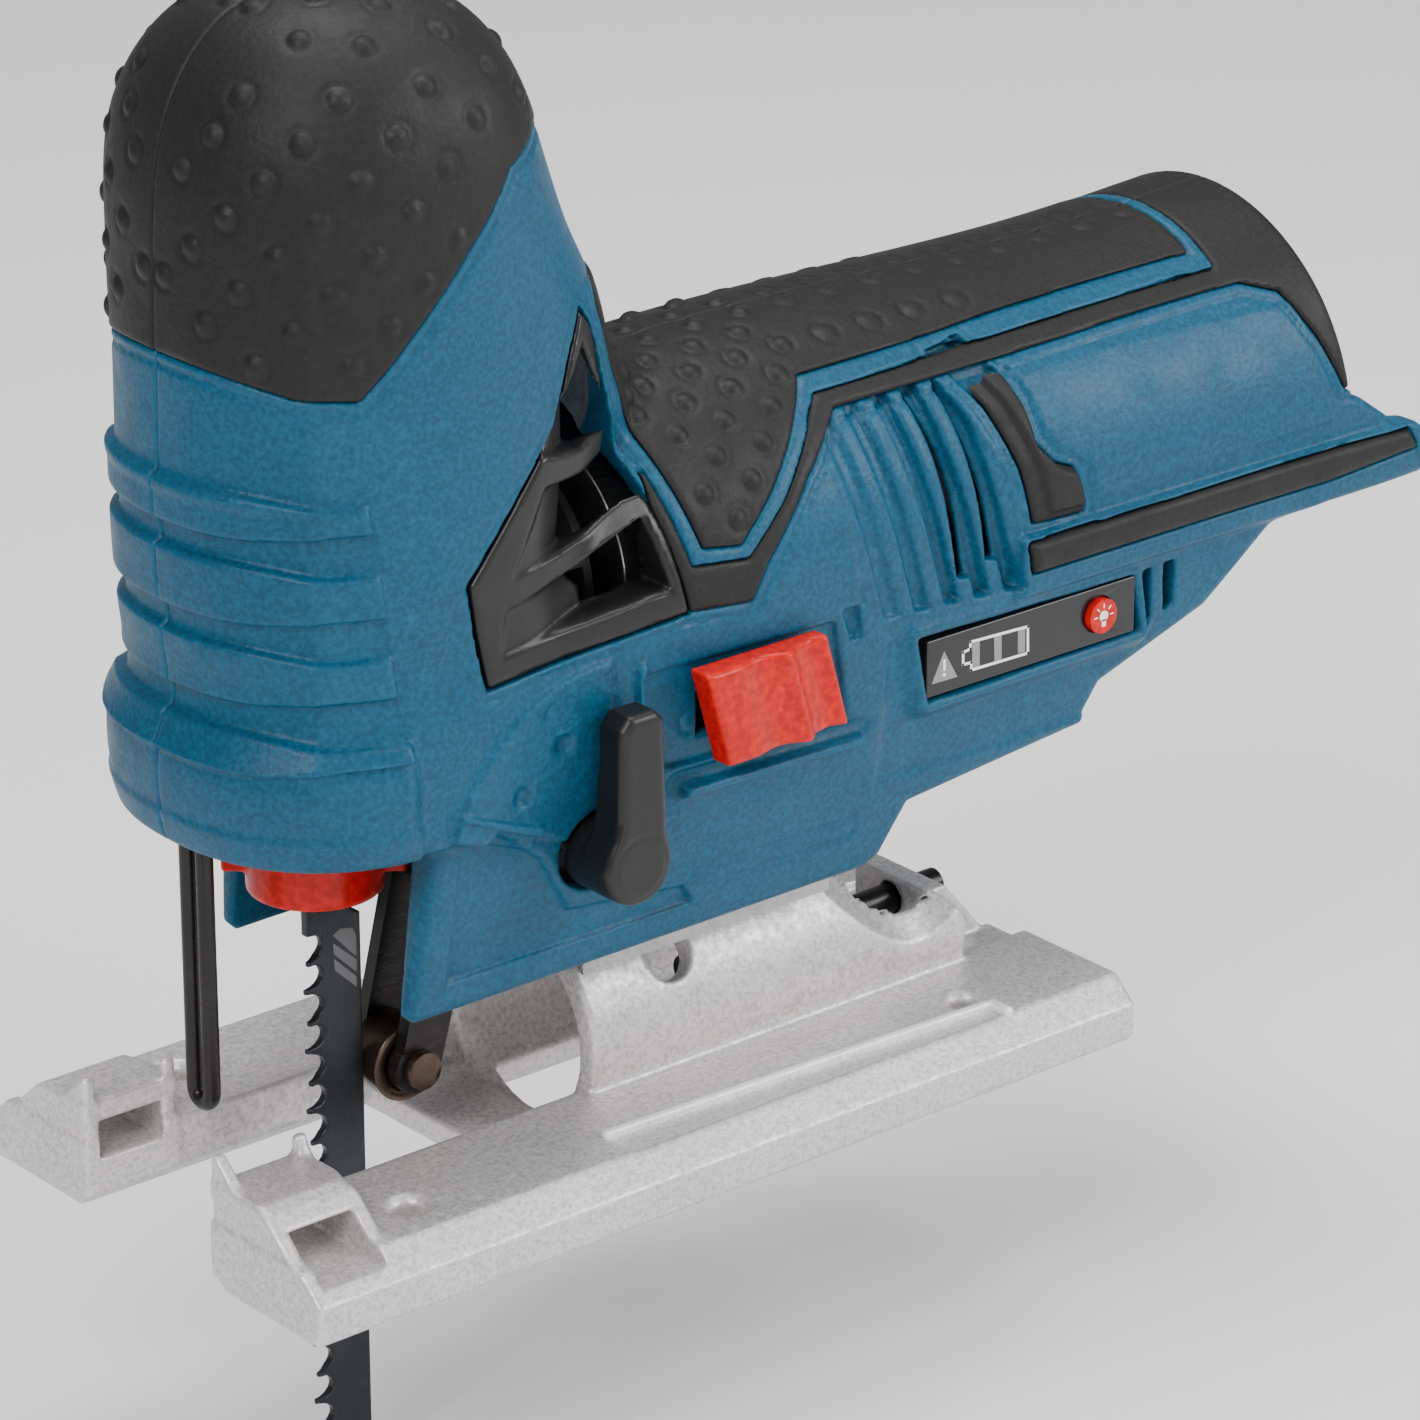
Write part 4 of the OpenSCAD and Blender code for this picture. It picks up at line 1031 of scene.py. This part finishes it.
PANEL = [(-15.5, 25.2), (45.8, 27.6), (45.8, 30), (-14.6, 30)]
HOLES = [(-44.6, 24), (44.6, 24)]


def prism(section, along, low, high, soft=0.5):
    """A section swept between two places, with rounded ends."""
    return smooth_max(section, np.abs(along - (low + high) / 2) - (high - low) / 2, soft)


def ridge_line(x):
    return 25.0 + 2.5 * (x + 15.5) / 62


def plate_field(x, y, z):
    """Die-cast base plate: two rails, guide blocks in front and the arch between them."""
    side = np.abs(y)
    top = step(z, 7.4, 8.3)
    rail = smooth_max(outline(side, z, RAIL), np.abs(x) - PLATE_X, 0.5)
    crest = side - ridge_line(x)
    relief = 0.2 * step(1.3 - np.abs(crest), 0, 0.5) * step(x, -16, -15) * step(-x, -46, -45)
    panel = outline(x, side, PANEL)
    relief = relief - 0.55 * step(-panel, -0.2, 0.4) * (crest > 0)
    relief = relief - 0.2 * np.exp(-(panel / 0.3)**2) * (side > 27)
    rail = rail - relief * top
    block = prism(outline(side, z, BLOCK), x, -PLATE_X, BLOCK_X, 0.6)
    slot = np.abs(x - GUIDE_X) - 4.7
    sunk = np.maximum(np.maximum(slot, 17 - side), z - 6.7)
    block = block + 1.0 * step(-sunk, -0.1, 0.3) * step(z, 2.2, 2.8)
    block = smooth_min(block, prism(outline(side, z, FRONT_LIP), x, -PLATE_X, -63.6, 0.4), 0.8)
    block = smooth_min(block, prism(outline(side, z, REAR_LIP), x, -53.6, BLOCK_X, 0.4), 0.8)
    solid = smooth_min(rail, block, 1.2)
    bridge = prism(np.maximum(side - 14, np.abs(z - 1.75) - 1.75), x, -22, PLATE_X)
    heel = prism(np.maximum(side - 14, np.abs(z - 3.5) - 3.5), x, 53.5, PLATE_X)
    round_about = np.hypot(y, z - ARCH_Z)
    arch = prism(round_about - ARCH_OUT, x, *ARCH_X, 0.8)
    solid = smooth_min(smooth_min(smooth_min(solid, bridge, 1.2), heel, 1.2), arch, 1.6)
    hollow = np.maximum(round_about - ARCH_IN, np.abs(x - (ARCH_X[0] - 1 + ARCH_X[1]) / 2)
                        - (ARCH_X[1] - ARCH_X[0] + 1) / 2)
    solid = smooth_max(solid, -hollow, 0.5)
    solid = smooth_max(solid, -np.maximum(outline(x, z, ARCH_CUT), side - 20), 0.5)
    solid = smooth_min(solid, smooth_max(outline(x, z, TAIL), side - 7, 0.5), 1.0)
    guide = np.maximum(np.maximum(slot, np.abs(z - GUIDE_Z) - 2.4), 10 - side)
    solid = smooth_max(solid, -guide, 0.3)
    for hx, hy in HOLES:
        away = np.hypot(x - hx, side - hy)
        solid = smooth_max(solid, -np.minimum(away - 2.15, (away + 5.4 - z) * 0.7), 0.2)
    along = np.maximum(np.abs(np.arctan2(y, z - ARCH_Z)) - 0.9, 0) * 14
    screw_slot = np.maximum(np.hypot(x - 5, along) - 3.5, ARCH_IN - 1.5 - round_about)
    solid = smooth_max(solid, -screw_slot, 0.4)
    solid = smooth_max(solid, -box(x, y, z, (-6.4, -8, -3), (46, 8, 4)), 0.4)
    solid = smooth_max(solid, -np.maximum(np.hypot(y, z - 12) - 2.15, 50 - x), 0.1)
    solid = smooth_max(solid, -box(x, y, z, (62.3, -6, 5.5), (68, 6, 11)), 0.3)
    return smooth_max(solid, -z, 0.1)


def rail_highlight_field(x, y, z):
    """Painted highlight: a near-white strip along the rail's crest, with its end turned outwards."""
    side = np.abs(y)
    crest = np.abs(side - ridge_line(x)) - 0.6
    line = np.maximum(crest, np.abs(x - 15) - 30.6)
    bend = np.maximum(np.abs(x - 46.2) - 0.6, np.abs(side - 29) - 2)
    return smooth_max(smooth_min(line, bend, 0.3), np.abs(z - 8.5) - 0.75, 0.35)


def build_base():
    # Painted highlight: a near-white strip along each rail's crest, on top of the cast plate.
    ridge = surface("plate_rail_highlight", rail_highlight_field, (-17, -31, 7), (49, 31, 10), 0.4)
    ridge.data.materials.append(MATERIALS["painted_rail_highlight"])
    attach(ridge, "base")
    plate = surface("base_plate_casting", plate_field, (-66.5, -35, -1), (66.5, 35, 30), max(GRID, 0.55))
    dress(plate, "cast_aluminium", "base", "base_plate")


# ---------- blade ----------

BLADE_BACK, BLADE_FRONT, BLADE_TIP, TOOTH = -33.4, -41.4, -40.0, 4.0
SHANK = [(BLADE_BACK, BLADE_TIP + 0.6), (BLADE_BACK, 35.4), (-35.5, 36.8), (-36.3, 38), (-36.3, 55.4),
         (-37.9, 57), (-41.1, 57), (-42.7, 55.4), (-42.7, 38), (BLADE_FRONT, 36),
         (BLADE_FRONT, BLADE_TIP + 5), (BLADE_FRONT + 3.6, BLADE_TIP), (BLADE_BACK - 0.6, BLADE_TIP)]


def blade_field(x, y, z):
    """Wood blade: hooked teeth with round gullets, ground on alternate sides."""
    side = outline(x, z, SHANK)
    down = 34.2 - z
    tooth = np.floor(down / TOOTH)
    place = down - tooth * TOOTH
    gullet = 2.3 * np.sqrt(np.clip(1 - ((place - 1.55) / 1.75)**2, 0, 1))
    gullet = np.maximum(gullet, 0.9 * np.clip((place - 1.6) / -0.5 + 1, 0, 1))
    in_row = step(down, 0, 0.2) * step(z, BLADE_TIP + 2, BLADE_TIP + 3)
    side = np.maximum(side, (BLADE_FRONT + gullet * in_row - x) * 0.6)
    lean = np.where(tooth % 2 == 0, 1, -1)
    grind = 0.5 * np.clip(BLADE_FRONT + 1.6 - x, 0, 1.6) * (y * lean > 0) * in_row
    ground = np.abs(y) - 0.62 + grind
    return smooth_max(side, ground * 0.9, 0.08)


def build_blade():
    blade = surface("blade_cutter", blade_field, (-44, -1.2, -41), (-32, 1.2, 58), 0.22)
    dress(blade, "blade_steel", "stroke", "blade")
    for name, y in (("near", -0.62), ("far", 0.62)):
        stripes = [[(-37.6, 33.4), (-36.5, 34.0), (-34.6, 33.6), (-34.1, 32.4), (-34.1, 29.8),
                    (-34.4, 29.9)],
                   [(-37.6, 32.4), (-37.5, 30.9), (-34.2, 27.6), (-34.1, 29.2)],
                   [(-37.5, 30.3), (-37.4, 28.7), (-34.2, 25.6), (-34.2, 27.0)]]
        plate_piece("blade_stripes_" + name, stripes, y - 0.04, y + 0.04, "blade_print", "stroke")


COLLAR_LOW, COLLAR_TOP, ROD_X = 40.4, 47.4, -39.5


def collar_field(x, y, z):
    """Quick-release collar: a moulded ring with two finger wings."""
    away = np.hypot(x - ROD_X, y)
    tall = np.abs(z - (COLLAR_LOW + COLLAR_TOP) / 2) - (COLLAR_TOP - COLLAR_LOW) / 2
    ring = smooth_max(away - 8.4, tall, 0.7)
    turn = math.radians(-40)
    along = (x - ROD_X) * math.cos(turn) + y * math.sin(turn)
    across = -(x - ROD_X) * math.sin(turn) + y * math.cos(turn)
    wings = np.maximum(np.abs(along) - 11.1, np.abs(across) - 2.5)
    wings = smooth_max(wings, np.abs(z - (COLLAR_LOW + 2.7 + COLLAR_TOP) / 2) - 2.1, 0.5)
    solid = smooth_min(ring, wings, 0.8)
    bore = np.minimum(away - 5.35, np.maximum(away - 6.6, z - COLLAR_LOW - 1.6))
    return smooth_max(solid, -bore, 0.25)


def build_collar():
    collar = surface("clamp_collar_ring", collar_field, (-52, -12, 39), (-27, 12, 49), 0.4)
    dress(collar, "red_plastic", "collar", "clamp_collar")


make_camera()
make_studio()
finish_cad_nodes()
build_housing()
build_inlays()
build_controls()
build_display()
build_base()
build_blade()
build_collar()
